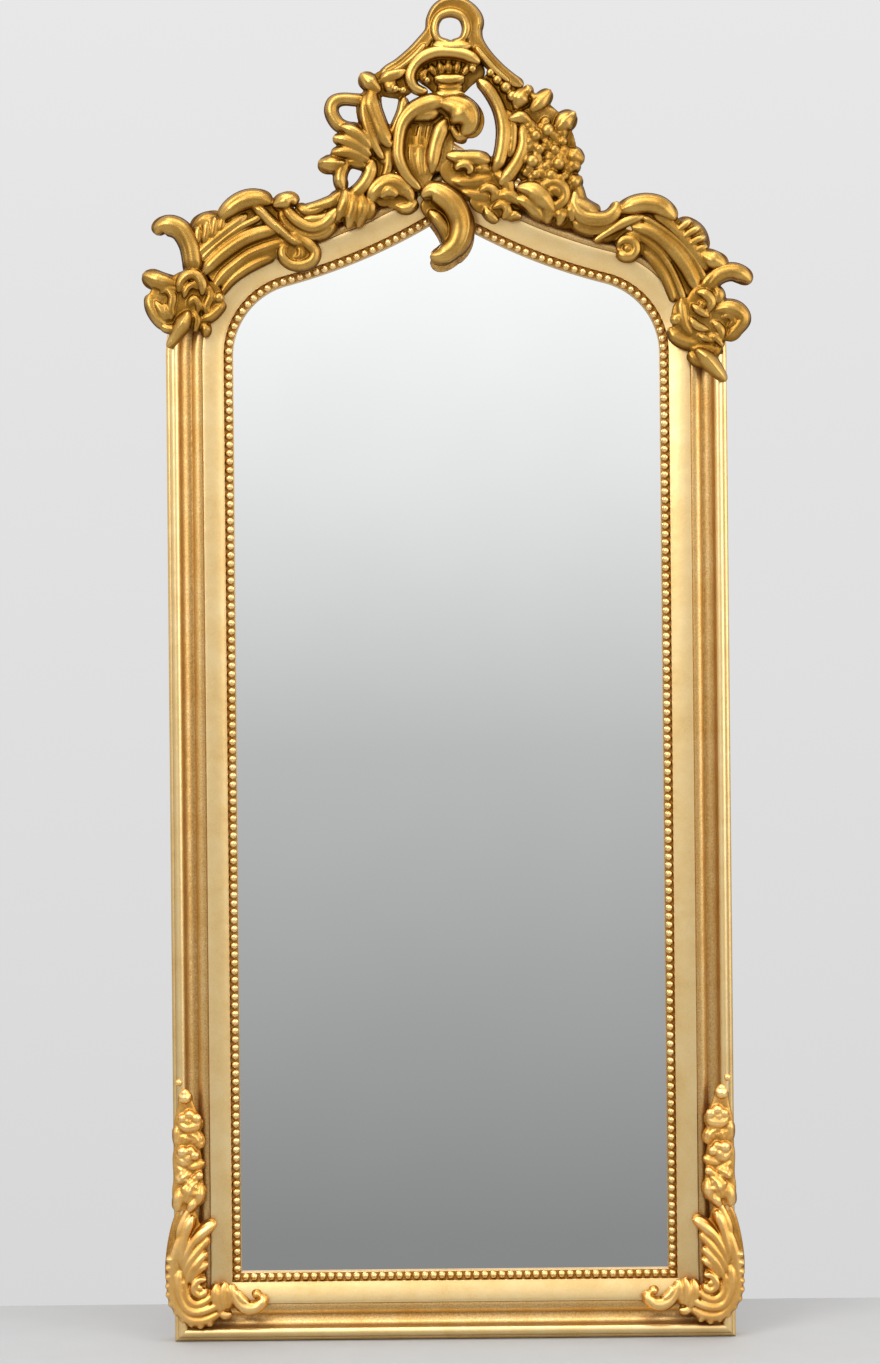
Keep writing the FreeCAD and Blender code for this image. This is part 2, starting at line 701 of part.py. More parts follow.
def hanger_strap():
    p = hanger_place
    low = V(p.x - strap_width / 2, 0, p.z - strap_length)
    leaf = Part.makeBox(strap_width, strap_thickness, strap_length, low)
    start = V(p.x - strap_width / 2, p.y, p.z)
    knuckle = Part.makeCylinder(knuckle_radius, strap_width, start, V(1, 0, 0))
    bore = Part.makeCylinder(ring_wire_radius + ring_bore_clearance, strap_width, start, V(1, 0, 0))
    holes = [pilot(x, z, strap_thickness, screw_length) for x, z in hanger_holes()]
    return leaf.fuse(knuckle).cut([bore] + holes).removeSplitter()


def hanger_holes():
    return [(hanger_place.x, hanger_place.z - drop) for drop in strap_hole_offsets]


def hanger_ring():
    c = ring_corner_radius
    inner = ring_half - c
    diagonal = c * math.sqrt(0.5)
    path = Part.Wire([
        line(V(0, 0, 0), V(inner, 0, 0)),
        arc(V(inner, 0, 0), V(inner + diagonal, 0, c - diagonal), V(ring_half, 0, c)),
        line(V(ring_half, 0, c), V(ring_half, 0, ring_leg)),
        arc(V(ring_half, 0, ring_leg), V(0, 0, ring_reach), V(-ring_half, 0, ring_leg)),
        line(V(-ring_half, 0, ring_leg), V(-ring_half, 0, c)),
        arc(V(-ring_half, 0, c), V(-inner - diagonal, 0, c - diagonal), V(-inner, 0, 0)),
        line(V(-inner, 0, 0), V(0, 0, 0)),
    ])
    wire = Part.Wire(Part.makeCircle(ring_wire_radius, V(0, 0, 0), V(1, 0, 0)))
    ring = path.makePipeShell([wire], True, False)
    ring.rotate(V(0, 0, 0), V(1, 0, 0), ring_lean)
    ring.translate(hanger_place)
    return ring


# Cork pads hold the glass forward against the lip; blocks carry its lower edge
def glass_pads():
    width = rebate_width - board_clearance - 2 * pad_margin
    depth = board_thickness
    pads = []
    for k in range(pads_per_side):
        z = moulding_width + (spring_height - moulding_width) * (k + 0.5) / pads_per_side
        low = V(-half_sight - pad_margin - width, -depth - pad_thickness, z - pad_length / 2)
        pad = Part.makeBox(width, pad_thickness, pad_length, low)
        pads += [pad, mirrored(pad)]
    for k in range(pads_below):
        x = sight_width * ((k + 0.5) / pads_below - 0.5)
        low = V(x - pad_length / 2, -depth - pad_thickness, moulding_width - pad_margin - width)
        pads.append(Part.makeBox(pad_length, pad_thickness, width, low))
    middle = (low_slope + high_slope) / 2
    pad = Part.makeBox(pad_length, pad_thickness, width, V(-pad_length / 2, -depth - pad_thickness, 0))
    pad.rotate(V(0, 0, 0), V(0, 1, 0), -math.degrees(middle))
    pad.translate(arch_point(pad_margin, middle))
    pads += [pad, mirrored(pad)]
    return group(pads)


def setting_blocks():
    low = moulding_width - rebate_width
    blocks = []
    for x in (-block_spacing / 2, block_spacing / 2):
        corner = V(x - block_length / 2, -rebate_depth, low)
        blocks.append(Part.makeBox(block_length, glass_thickness, glass_clearance, corner))
    return group(blocks)


def wall_pad():
    low = V(-wall_pad_length / 2, 0, wall_pad_margin)
    return Part.makeBox(wall_pad_length, wall_gap, wall_pad_height, low)


print("frame", round(2 * half_width), "wide, section", moulding_width, "x", frame_depth)
print("apex of the sight", round(apex_z), "arch radius", round(arch_radius))

left_stile = make_stile()
bottom_rail = make_bottom_rail()
left_shoulder = make_shoulder()
left_arch = make_arch_half()

nodes = {
    "left_stile": left_stile,
    "right_stile": mirrored(left_stile),
    "bottom_rail": bottom_rail,
    "left_shoulder": left_shoulder,
    "right_shoulder": mirrored(left_shoulder),
    "left_arch": left_arch,
    "right_arch": mirrored(left_arch),
    "bead_row_left": stile_bead_row(),
    "bead_row_right": mirrored(stile_bead_row()),
    "bead_row_bottom": bottom_bead_row(),
    "bead_row_head_left": head_bead_row(),
    "bead_row_head_right": mirrored(head_bead_row()),
    "mirror_glass": sheet(rebate_width - glass_clearance, board_thickness + pad_thickness, glass_thickness),
    "backing_board": sheet(rebate_width - board_clearance, 0, board_thickness),
}


# Fastenings: their places first, then the holes that the frame gets for them
joint_plate_places = [
    (V(-half_sight - plate_offset, 0, spring_height), 90),
    (mirror_place(V(-half_sight - plate_offset, 0, spring_height)), 90),
    (shoulder_point(plate_offset, turn_rad), shoulder_slope),
    (mirror_place(shoulder_point(plate_offset, turn_rad)), -shoulder_slope),
    (arch_point(plate_offset, arch_slope_at_middle(plate_offset)), 0),
]
plate_screw_places = [hole for place in joint_plate_places for hole in plate_holes(*place)]
plate_screw_places += corner_plate_holes() + [(-x, z) for x, z in corner_plate_holes()]
hanger_screw_places = hanger_holes() + [(-x, z) for x, z in hanger_holes()]
button_seat = button_thickness + 2 * button_gap
left_dowels = dowel_places()
all_dowels = left_dowels + [flipped(place) for place in left_dowels] + middle_dowel_places()

drills = [pilot(x, z, plate_thickness, screw_length) for x, z in plate_screw_places]
drills += [pilot(x, z, strap_thickness, screw_length) for x, z in hanger_screw_places]
drills += [pilot(x, z, button_seat, screw_length) for _, x, z, _ in button_places()]
drills += [dowel_hole(*place) for place in all_dowels]

nodes["joint_dowels"] = group([dowel(*place) for place in all_dowels])
nodes["joint_plates"] = group([joint_plate(*place) for place in joint_plate_places])
nodes["corner_plates"] = group([corner_plate(), mirrored(corner_plate())])
nodes["plate_screws"] = group([screw(x, z, plate_thickness, screw_length) for x, z in plate_screw_places])
nodes["glass_pads"] = glass_pads()
nodes["setting_blocks"] = setting_blocks()
nodes["wall_pad"] = wall_pad()
nodes["hanger_strap_left"] = hanger_strap()
nodes["hanger_strap_right"] = mirrored(hanger_strap())
nodes["hanger_ring_left"] = hanger_ring()
nodes["hanger_ring_right"] = mirrored(hanger_ring())
nodes["hanger_screws"] = group([screw(x, z, strap_thickness, screw_length) for x, z in hanger_screw_places])
for name, x, z, angle in button_places():
    nodes["turn_button_" + name] = turn_button(x, z, angle)
nodes["turn_button_screws"] = group([screw(x, z, button_seat, screw_length) for _, x, z, _ in button_places()])

frame_names = ("left_stile", "right_stile", "bottom_rail", "left_shoulder", "right_shoulder", "left_arch",
               "right_arch")

# Crest, carved to the frame and to the pieces already in place
crest = V(0, 0, apex_z)
frame_pieces = [nodes[name] for name in frame_names]
arches = [nodes["left_arch"], nodes["right_arch"]]
crest_makers = [
    ("crest_shell", make_crest_shell),
    ("crest_fan", make_fan),
    ("crest_finial_loop", make_finial_loop),
    ("crest_pendant_leaf", make_pendant_leaf),
    ("crest_right_scroll", make_right_scroll),
    ("crest_base_scroll", make_base_scroll),
    ("crest_leaf_spray", make_leaf_spray),
    ("crest_flower_spray", make_flower_spray),
]
seats = list(arches)
for name, make in crest_makers:
    nodes[name] = carved(make(), seats)
    seats.append(nodes[name])

support_slope = math.asin((support_left - arch_centre.x) / (arch_radius - moulding_width))
support_low = arch_point(moulding_width, support_slope).z
support = Part.makeBox(support_right - support_left, support_depth, apex_z + support_top - support_low,
                       V(support_left, -support_depth, support_low)).cut(arches)
crest_screw_places = [(crest_screw_x, apex_z + height) for height in crest_screw_heights]
crest_drills = [pilot(x, z, 0, crest_screw_length) for x, z in crest_screw_places]
nodes["crest_support_block"] = without_crumbs(support.cut(crest_drills))
nodes["crest_shell"] = nodes["crest_shell"].cut(crest_drills)
nodes["crest_screws"] = group([screw(x, z, 0, crest_screw_length) for x, z in crest_screw_places])

# Shoulder and lower corner ornaments
left_corner = V(-half_width, 0, spring_height)
right_corner = V(half_width, 0, spring_height)
shoulder_makers = [
    ("shoulder_scroll_left", make_left_shoulder_scroll, left_corner),
    ("shoulder_leaf_left", make_left_shoulder_leaf, left_corner),
    ("corner_spray_left", make_left_corner_spray, left_corner),
    ("shoulder_scroll_right", make_right_shoulder_scroll, right_corner),
    ("shoulder_leaf_right", make_right_shoulder_leaf, right_corner),
    ("corner_spray_right", make_right_corner_spray, right_corner),
]
seats = frame_pieces + [nodes["crest_leaf_spray"], nodes["crest_flower_spray"]]
for name, make, corner in shoulder_makers:
    nodes[name] = carved(make(corner), seats)
    seats.append(nodes[name])

left_foot = V(-half_width, 0, 0)
foot_seats = [nodes["left_stile"], nodes["bottom_rail"]]
nodes["foot_acanthus_left"] = carved(make_foot_acanthus(left_foot), foot_seats)
nodes["side_drop_left"] = carved(make_side_drop(left_foot), foot_seats + [nodes["foot_acanthus_left"]])
nodes["foot_acanthus_right"] = mirrored(nodes["foot_acanthus_left"])
nodes["side_drop_right"] = mirrored(nodes["side_drop_left"])

for name in frame_names:
    nodes[name] = nodes[name].cut(drills)

os.makedirs("parts", exist_ok=True)
origin = V(0, -wall_gap, -wall_pad_z)
for name, shape in nodes.items():
    shape = shape.copy()
    shape.translate(origin)
    print(name, len(shape.Solids), shape.isValid(), round(shape.Volume))
    shape.exportStep("parts/" + name + ".step")
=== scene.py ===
import bpy
import bmesh
import math
import numpy as np
from mathutils import Matrix, Vector


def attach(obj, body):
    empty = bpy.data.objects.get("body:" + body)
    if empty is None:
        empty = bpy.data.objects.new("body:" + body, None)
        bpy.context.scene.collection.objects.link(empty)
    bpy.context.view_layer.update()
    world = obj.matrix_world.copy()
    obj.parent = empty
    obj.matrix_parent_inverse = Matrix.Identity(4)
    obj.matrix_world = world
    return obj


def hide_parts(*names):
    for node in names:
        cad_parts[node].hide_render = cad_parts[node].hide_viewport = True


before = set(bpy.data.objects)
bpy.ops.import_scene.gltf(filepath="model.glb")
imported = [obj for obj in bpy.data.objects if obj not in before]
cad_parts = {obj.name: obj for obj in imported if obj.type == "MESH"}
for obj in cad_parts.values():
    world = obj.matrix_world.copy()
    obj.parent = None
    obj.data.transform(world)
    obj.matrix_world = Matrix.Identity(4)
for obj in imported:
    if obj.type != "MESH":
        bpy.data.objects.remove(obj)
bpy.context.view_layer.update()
root = "mirror_frame"
mm = 0.001

# The carved frame is laid out as the joiner does it: u is the distance out from the sight edge,
# depth is counted from the back face towards the viewer, heights from the bottom edge.
layout = {"halfSight": 288.0, "spring": 1326.0, "shoulderRadius": 97.5, "shoulderSlope": 14.5,
          "apexSlope": 31.5, "width": 89.0, "wallGap": 8.0, "padCentre": 18.0, "frontDepth": 43.5}

lowSlope = math.radians(layout["shoulderSlope"])
shoulderTurn = math.pi / 2 - lowSlope
shoulderX = layout["shoulderRadius"] - layout["halfSight"]
jointX = shoulderX - layout["shoulderRadius"] * math.cos(shoulderTurn)
jointZ = layout["spring"] + layout["shoulderRadius"] * math.sin(shoulderTurn)
archRadius = -jointX / (math.sin(math.radians(layout["apexSlope"])) - math.sin(lowSlope))
archX = jointX - archRadius * math.sin(lowSlope)
archZ = jointZ + archRadius * math.cos(lowSlope)
apexZ = archZ - archRadius * math.cos(math.radians(layout["apexSlope"]))


def place(x, depth, z):  # millimetres on the bench to metres in the room
    return (x * mm, -(depth + layout["wallGap"]) * mm, (z - layout["padCentre"]) * mm)


def newObject(name, mesh, material=None):
    obj = bpy.data.objects.new(name, mesh)
    bpy.context.scene.collection.objects.link(obj)
    if material:
        mesh.materials.append(material)
    return obj


def frozen(obj):  # modifiers applied, object left with a plain mesh
    graph = bpy.context.evaluated_depsgraph_get()
    solid = obj.evaluated_get(graph)
    mesh = bpy.data.meshes.new_from_object(solid, preserve_all_data_layers=True, depsgraph=graph)
    obj.modifiers.clear()
    if obj.type == "MESH":
        obj.data = mesh
        return obj
    fresh = newObject(obj.name + "Mesh", mesh)
    bpy.data.objects.remove(obj)
    return fresh


def settle(obj, node):  # stands for a CAD node, rides on its body
    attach(obj, root)
    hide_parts(node)


def ringFaces(rings, around, capped=True):  # quads between closed rings of points
    faces = []
    for i in range(rings - 1):
        for j in range(around):
            k = (j + 1) % around
            faces.append((i * around + j, i * around + k, (i + 1) * around + k, (i + 1) * around + j))
    if capped:
        faces += [tuple(range(around)), tuple(range((rings - 1) * around, rings * around))]
    return faces


def solidMesh(name, verts, faces, weld=None):  # faces turned outwards, points nearer than weld made one
    mesh = bpy.data.meshes.new(name)
    mesh.from_pydata(verts, [], faces)
    bm = bmesh.new()
    bm.from_mesh(mesh)
    if weld:
        bmesh.ops.remove_doubles(bm, verts=bm.verts, dist=weld)
    bmesh.ops.recalc_face_normals(bm, faces=bm.faces)
    bm.to_mesh(mesh)
    bm.free()
    return mesh


def srgb(code):  # colour code to linear light
    parts = [int(code[i:i + 2], 16) / 255 for i in (1, 3, 5)]
    return tuple(c / 12.92 if c <= 0.04045 else ((c + 0.055) / 1.055) ** 2.4 for c in parts) + (1.0,)


def addNode(tree, kind, settings=None, inputs=None):
    node = tree.nodes.new(kind)
    for key, value in (settings or {}).items():
        if key == "stops":
            elements = node.color_ramp.elements
            while len(elements) < len(value):
                elements.new(0.5)
            for element, (position, colour) in zip(elements, value):
                element.position, element.color = position, colour
        else:
            setattr(node, key, value)
    for key, value in (inputs or {}).items():
        if isinstance(value, bpy.types.NodeSocket):
            tree.links.new(value, node.inputs[key])
        else:
            node.inputs[key].default_value = value
    return node


def newMaterial(name, **principled):
    mat = bpy.data.materials.new(name)
    mat.use_nodes = True
    shader = mat.node_tree.nodes["Principled BSDF"]
    for key, value in principled.items():
        shader.inputs[key].default_value = value
    return mat, mat.node_tree, shader


def objectSpace(tree):
    return addNode(tree, "ShaderNodeTexCoord").outputs["Object"]


def grainSpace(tree, along):  # object space drawn out along the height
    inputs = {"Vector": objectSpace(tree), "Scale": (1.0, 1.0, along)}
    return addNode(tree, "ShaderNodeMapping", inputs=inputs).outputs[0]


def perMetre(millimetres):  # pattern scale for a feature of that size
    return 1000.0 / millimetres


def noise(tree, where, size, **inputs):  # size of one blotch in millimetres
    inputs.update({"Vector": where, "Scale": perMetre(size)})
    return addNode(tree, "ShaderNodeTexNoise", inputs=inputs).outputs["Fac"]


def ranged(tree, value, fromRange, toRange, kind="LINEAR"):
    inputs = {"Value": value, "From Min": fromRange[0], "From Max": fromRange[1],
              "To Min": toRange[0], "To Max": toRange[1]}
    return addNode(tree, "ShaderNodeMapRange", {"interpolation_type": kind}, inputs).outputs[0]


def scaled(tree, value, factor, offset):
    inputs = {0: value, 1: factor, 2: offset}
    return addNode(tree, "ShaderNodeMath", {"operation": "MULTIPLY_ADD"}, inputs).outputs[0]


def blended(tree, factor, first, second):
    inputs = {"Factor": factor, 6: first, 7: second}
    return addNode(tree, "ShaderNodeMix", {"data_type": "RGBA"}, inputs).outputs[2]


def ramp(tree, value, stops):  # stops are (position, colour code)
    stops = [(position, srgb(code)) for position, code in stops]
    return addNode(tree, "ShaderNodeValToRGB", {"stops": stops}, {"Fac": value}).outputs[0]


def tinted(tree, shader, value, stops):
    tree.links.new(ramp(tree, value, stops), shader.inputs["Base Color"])


def bumped(tree, shader, height, strength, depth):  # depth in millimetres
    inputs = {"Height": height, "Strength": strength, "Distance": depth * mm}
    tree.links.new(addNode(tree, "ShaderNodeBump", inputs=inputs).outputs[0], shader.inputs["Normal"])


# Water-laid gold leaf over bole and gesso: satin metal, burnished and given a painted highlight on the high
# parts, brown size left in the recesses with painted shade over it, faint laps where one leaf overlaps the
# next and a slight waviness of the gesso under it.
giltLook = {"leaf": "#E3C080", "pale": "#F3DEAE", "size": "#8C5A16", "red": "#CFA15A", "roughness": 0.36,
            "redAt": 0.32, "leafAt": 0.47, "paleAt": 0.72, "leafSize": 80.0, "cloud": 46.0, "grain": 2.2,
            "waver": 14.0, "cloudShare": 0.38, "cloudFrom": (0.25, 0.75), "lapWidth": 0.012, "lapShare": 0.1,
            "speck": 0.3, "sizeAndShadeFrom": (0.48, 0.86), "sizeAndShadeShare": 0.9, "highlightFrom": (0.5, 0.12),
            "highlightShare": 0.55, "smoother": 0.06, "rougher": 0.08, "grainHeight": 0.12, "bump": 0.14,
            "bumpDepth": 1.6}
headLook = {**giltLook, "leaf": "#936A2A", "pale": "#D0AC62", "size": "#583809",
            "red": "#7A521C"}  # most size left in the head
footLook = {**giltLook, "leaf": "#DEA858", "pale": "#FCDC9A", "size": "#946420",
            "red": "#C48A40"}  # rubbed paler by dusting


def gilded(name, useRecess, look=giltLook, rough=0.0):
    mat, tree, shader = newMaterial(name, Metallic=1.0)
    where = objectSpace(tree)
    cloud = noise(tree, where, look["cloud"], Detail=5.0, Roughness=0.6)
    grain = noise(tree, where, look["grain"], Detail=3.0)
    laps = addNode(tree, "ShaderNodeTexVoronoi", {"feature": "DISTANCE_TO_EDGE"},
                   {"Vector": where, "Scale": perMetre(look["leafSize"])}).outputs["Distance"]
    lapLine = ranged(tree, laps, (0.0, look["lapWidth"]), (look["lapShare"], 0.0))
    tone = ramp(tree, cloud, [(look[tint + "At"], look[tint]) for tint in ("red", "leaf", "pale")])
    tone = blended(tree, look["cloudShare"], srgb(look["leaf"]), tone)
    tone = blended(tree, lapLine, tone, srgb(look["red"]))
    wear, wearFrom = cloud, look["cloudFrom"]
    if useRecess:
        recess = addNode(tree, "ShaderNodeAttribute", {"attribute_name": "recess"}).outputs["Fac"]
        speck = scaled(tree, grain, look["speck"], -look["speck"] / 2)
        recessAndSpeck = addNode(tree, "ShaderNodeMath", {"operation": "ADD", "use_clamp": True},
                       {0: recess, 1: speck}).outputs[0]
        # painted shade: the brown size colour darkens wherever the recess value is high, size and shade
        # together
        dark = ranged(tree, recessAndSpeck, look["sizeAndShadeFrom"], (0.0, look["sizeAndShadeShare"]), "SMOOTHSTEP")
        # painted highlight: the pale colour lightens wherever the recess value is low, on the high parts and
        # edges
        paintedHighlight = ranged(tree, recessAndSpeck, look["highlightFrom"], (0.0, look["highlightShare"]), "SMOOTHSTEP")
        tone = blended(tree, paintedHighlight, tone, srgb(look["pale"]))
        tone = blended(tree, dark, tone, srgb(look["size"]))
        wear, wearFrom = recessAndSpeck, (0.0, 1.0)
    tree.links.new(tone, shader.inputs["Base Color"])
    middle = look["roughness"] + rough
    spread = (middle - look["smoother"], middle + look["rougher"])
    tree.links.new(ranged(tree, wear, wearFrom, spread), shader.inputs["Roughness"])
    waver = noise(tree, where, look["waver"], Detail=2.0)
    height = scaled(tree, grain, look["grainHeight"], waver)
    bumped(tree, shader, height, look["bump"], look["bumpDepth"])
    return mat


# Back-silvered float glass: a clean mirror, hardly tinted green
glassLook = {"clear": "#F5F6F6", "green": "#F1F3F2", "haze": 300.0, "roughness": 0.015}


def silveredGlass():
    mat, tree, shader = newMaterial("silveredFloatGlass", Metallic=1.0, Roughness=glassLook["roughness"])
    haze = noise(tree, objectSpace(tree), glassLook["haze"], Detail=3.0)
    tinted(tree, shader, haze, [(0.3, glassLook["green"]), (0.7, glassLook["clear"])])
    return mat


# Sawn softwood or veneer: long grain up the piece, darker late wood
woodLook = {"roughness": 0.62, "alongGrain": 0.06, "bump": 0.25, "bumpDepth": 0.6}


def sawnWood(name, pale, dark, ring):
    mat, tree, shader = newMaterial(name, Roughness=woodLook["roughness"])
    where = grainSpace(tree, woodLook["alongGrain"])
    rings = noise(tree, where, ring, Detail=6.0, Roughness=0.65, Distortion=0.6)
    tinted(tree, shader, rings, [(0.35, dark), (0.6, pale)])
    bumped(tree, shader, rings, woodLook["bump"], woodLook["bumpDepth"])
    return mat


# Pressed fibre board, cork or felt: short fibres in two tones
fibreLook = {"bump": 0.4}


def fibrous(name, pale, dark, grit, roughness, depth):
    mat, tree, shader = newMaterial(name, Roughness=roughness)
    fibres = noise(tree, objectSpace(tree), grit, Detail=8.0, Roughness=0.7)
    tinted(tree, shader, fibres, [(0.34, dark), (0.66, pale)])
    bumped(tree, shader, fibres, fibreLook["bump"], depth)
    return mat


# Plated or pressed metal: fine drawn lines and a little spangle
metalLook = {"alongLine": 0.08, "smoother": 0.08, "rougher": 0.1}


def plated(name, colour, shade, roughness, line):
    mat, tree, shader = newMaterial(name, Metallic=1.0)
    lines = noise(tree, grainSpace(tree, metalLook["alongLine"]), line, Detail=4.0)
    tinted(tree, shader, lines, [(0.35, shade), (0.65, colour)])
    spread = (roughness - metalLook["smoother"], roughness + metalLook["rougher"])
    tree.links.new(ranged(tree, lines, (0.0, 1.0), spread), shader.inputs["Roughness"])
    return mat


goldMoulding = gilded("goldLeafOnMoulding", True)
goldHead = gilded("goldLeafOnHeadCarving", True, headLook)
goldFoot = gilded("goldLeafOnFootCarving", True, footLook)
goldPearl = gilded("goldLeafOnPearls", False, rough=-0.02)
mirrorGlass = silveredGlass()
ochreBack = sawnWood("ochreSizedPine", "#C89A4E", "#9A6C2C", 9.0)
pineBlock = sawnWood("sawnPine", "#D9B98A", "#B48A58", 7.0)
beechDowel = sawnWood("turnedBeech", "#CFA678", "#B38655", 4.0)
brownBoard = fibrous("pressedHardboard", "#7A5636", "#54381F", 3.0, 0.75, 0.25)
corkSheet = fibrous("cutCork", "#B98A58", "#7C5532", 4.0, 0.85, 0.5)
greyFelt = fibrous("denseWoolFelt", "#5E5B57", "#3F3D3A", 1.6, 0.95, 0.6)
blackRubber = fibrous("mouldedNeoprene", "#202020", "#121212", 2.0, 0.7, 0.1)
zincSteel = plated("zincPlatedSteel", "#C9C9C6", "#9C9C9A", 0.38, 1.2)
nickelSteel = plated("nickelPlatedSteel", "#D6D2C8", "#AFAAA0", 0.26, 0.9)
pressedBrass = plated("pressedBrass", "#C9A356", "#93713A", 0.33, 1.0)
print("materials made")


# Moulding: (u, depth, recess) round the section from the sight lip outwards; recess 1 is a groove in painted
# shade,
# 0 an edge with a painted highlight.
moulding = {"sharp": 40, "steps": {"straight": 1, "shoulder": 28, "arch": 24}}


def nearTurn(angle, start):  # the same direction, within half a turn of start
    return start + (angle - start + math.pi) % (2 * math.pi) - math.pi


def bow(start, middle, end, count, tone0, tone1):  # arc through three points, ends included
    (ax, ay), (bx, by), (cx, cy) = start, middle, end
    aa, bb, cc = (x * x + y * y for x, y in (start, middle, end))
    d = 2 * (ax * (by - cy) + bx * (cy - ay) + cx * (ay - by))
    ux = (aa * (by - cy) + bb * (cy - ay) + cc * (ay - by)) / d
    uy = (aa * (cx - bx) + bb * (ax - cx) + cc * (bx - ax)) / d
    r = math.hypot(ax - ux, ay - uy)
    a0, a1, a2 = (math.atan2(y - uy, x - ux) for x, y in (start, middle, end))
    sweep = nearTurn(a2, nearTurn(a1, a0)) - a0
    out = []
    for k in range(count + 1):
        t = k / count
        a = a0 + sweep * t
        out.append((ux + r * math.cos(a), uy + r * math.sin(a), tone0 + (tone1 - tone0) * t))
    return out


def mouldingSection():
    front = [(0.0, 11.0, 0.6), (0.0, 18.5, 0.55), (0.5, 19.0, 0.75), (10.6, 19.0, 0.95),
             (11.4, 19.4, 1.0), (11.5, 24.2, 0.62), (12.1, 25.2, 0.3)]  # sight lip, pearl ledge
    front += bow((12.6, 25.3), (25.75, 29.45), (38.9, 31.3), 8, 0.4, 0.3)  # frieze
    front += [(39.6, 31.2, 0.2), (40.0, 30.7, 0.3), (40.1, 29.2, 0.95)]
    front += bow((40.6, 28.9), (47.25, 29.7), (53.8, 26.3), 7, 0.72, 0.56)  # low torus
    front += [(54.4, 25.8, 0.35), (54.5, 24.3, 0.95)]
    front += bow((54.9, 24.0), (66.17, 27.8), (70.6, 36.4), 10, 0.76, 0.55)  # cove
    front += [(71.0, 37.1, 0.75)]
    front += bow((71.1, 37.9), (77.5, 43.5), (83.9, 37.9), 12, 0.34, 0.34)  # high torus
    front += [(84.1, 37.0, 0.8)]
    front += bow((84.6, 36.9), (87.54, 35.54), (89.0, 32.4), 6, 0.5, 0.55)  # outer edge
    front += [(89.0, 1.2, 0.6), (88.0, 0.0, 0.6)]
    back = [(12.0, 0.0, 0.5), (12.0, 11.0, 0.5)]
    return front, back


def stilePath(u, t):
    low = layout["width"] - u
    return (-layout["halfSight"] - u, low + (layout["spring"] - low) * t)


def railPath(u, t):
    reach = layout["halfSight"] + u
    return (reach * (1 - 2 * t), layout["width"] - u)


def shoulderPath(u, t):
    a = shoulderTurn * t
    r = layout["shoulderRadius"] + u
    return (shoulderX - r * math.cos(a), layout["spring"] + r * math.sin(a))


def archPath(u, t):
    r = archRadius - u
    a = lowSlope + (math.asin(-archX / r) - lowSlope) * t
    return (archX + r * math.sin(a), archZ - r * math.cos(a))


def sweptMoulding(name, path, steps, flip):
    front, back = mouldingSection()
    section = front + back
    n = len(section)
    verts = []
    tones = []
    for k in range(steps + 1):
        for u, depth, tone in section:
            x, z = path(u, k / steps)
            verts.append(place(-x if flip else x, depth, z))
            tones.append(tone)
    mesh = solidMesh(name, verts, ringFaces(steps + 1, n))
    # the recess tones paint shade into the grooves and a highlight onto the edges of the gilt
    mesh.attributes.new("recess", "FLOAT", "POINT").data.foreach_set("value", tones)
    obj = newObject(name, mesh, goldMoulding)
    mesh.materials.append(ochreBack)
    backSide = range(len(front) - 1, n)
    for index, face in enumerate(mesh.polygons):
        if index >= steps * n or index % n in backSide:
            face.material_index = 1
        face.use_smooth = index < steps * n
    mesh.set_sharp_from_angle(angle=math.radians(moulding["sharp"]))
    return obj


frameMembers = [("left_stile", stilePath, "straight", False), ("right_stile", stilePath, "straight", True),
                ("bottom_rail", railPath, "straight", False),
                ("left_shoulder", shoulderPath, "shoulder", False),
                ("right_shoulder", shoulderPath, "shoulder", True),
                ("left_arch", archPath, "arch", False), ("right_arch", archPath, "arch", True)]
for node, path, run, flip in frameMembers:
    settle(sweptMoulding("gilt_" + node, path, moulding["steps"][run], flip), node)
print("mouldings swept:", len(frameMembers))


# Pearls along the sight edge, pressed one by one and set a hair apart
pearlRow = {"radius": 5.2, "pitch": 11.5, "offset": 5.75, "ledge": 19.0, "sink": 1.35, "gap": 0.3,
            "sizeSpread": 0.035, "seed": 7, "segments": 12, "rings": 7, "pathSteps": 160, "lengthSteps": 200}


def newTree(name, sockets):
    tree = bpy.data.node_groups.new(name, "GeometryNodeTree")
    tree.interface.new_socket("Geometry", in_out="INPUT", socket_type="NodeSocketGeometry")
    for label, kind in sockets:
        tree.interface.new_socket(label, in_out="INPUT", socket_type=kind)
    tree.interface.new_socket("Geometry", in_out="OUTPUT", socket_type="NodeSocketGeometry")
    return tree, addNode(tree, "NodeGroupInput"), addNode(tree, "NodeGroupOutput")


def treeModifier(obj, tree, values):
    mod = obj.modifiers.new(tree.name, "NODES")
    mod.node_group = tree
    for item in tree.interface.items_tree:
        if item.item_type == "SOCKET" and item.in_out == "INPUT" and item.name in values:
            mod[item.identifier] = values[item.name]


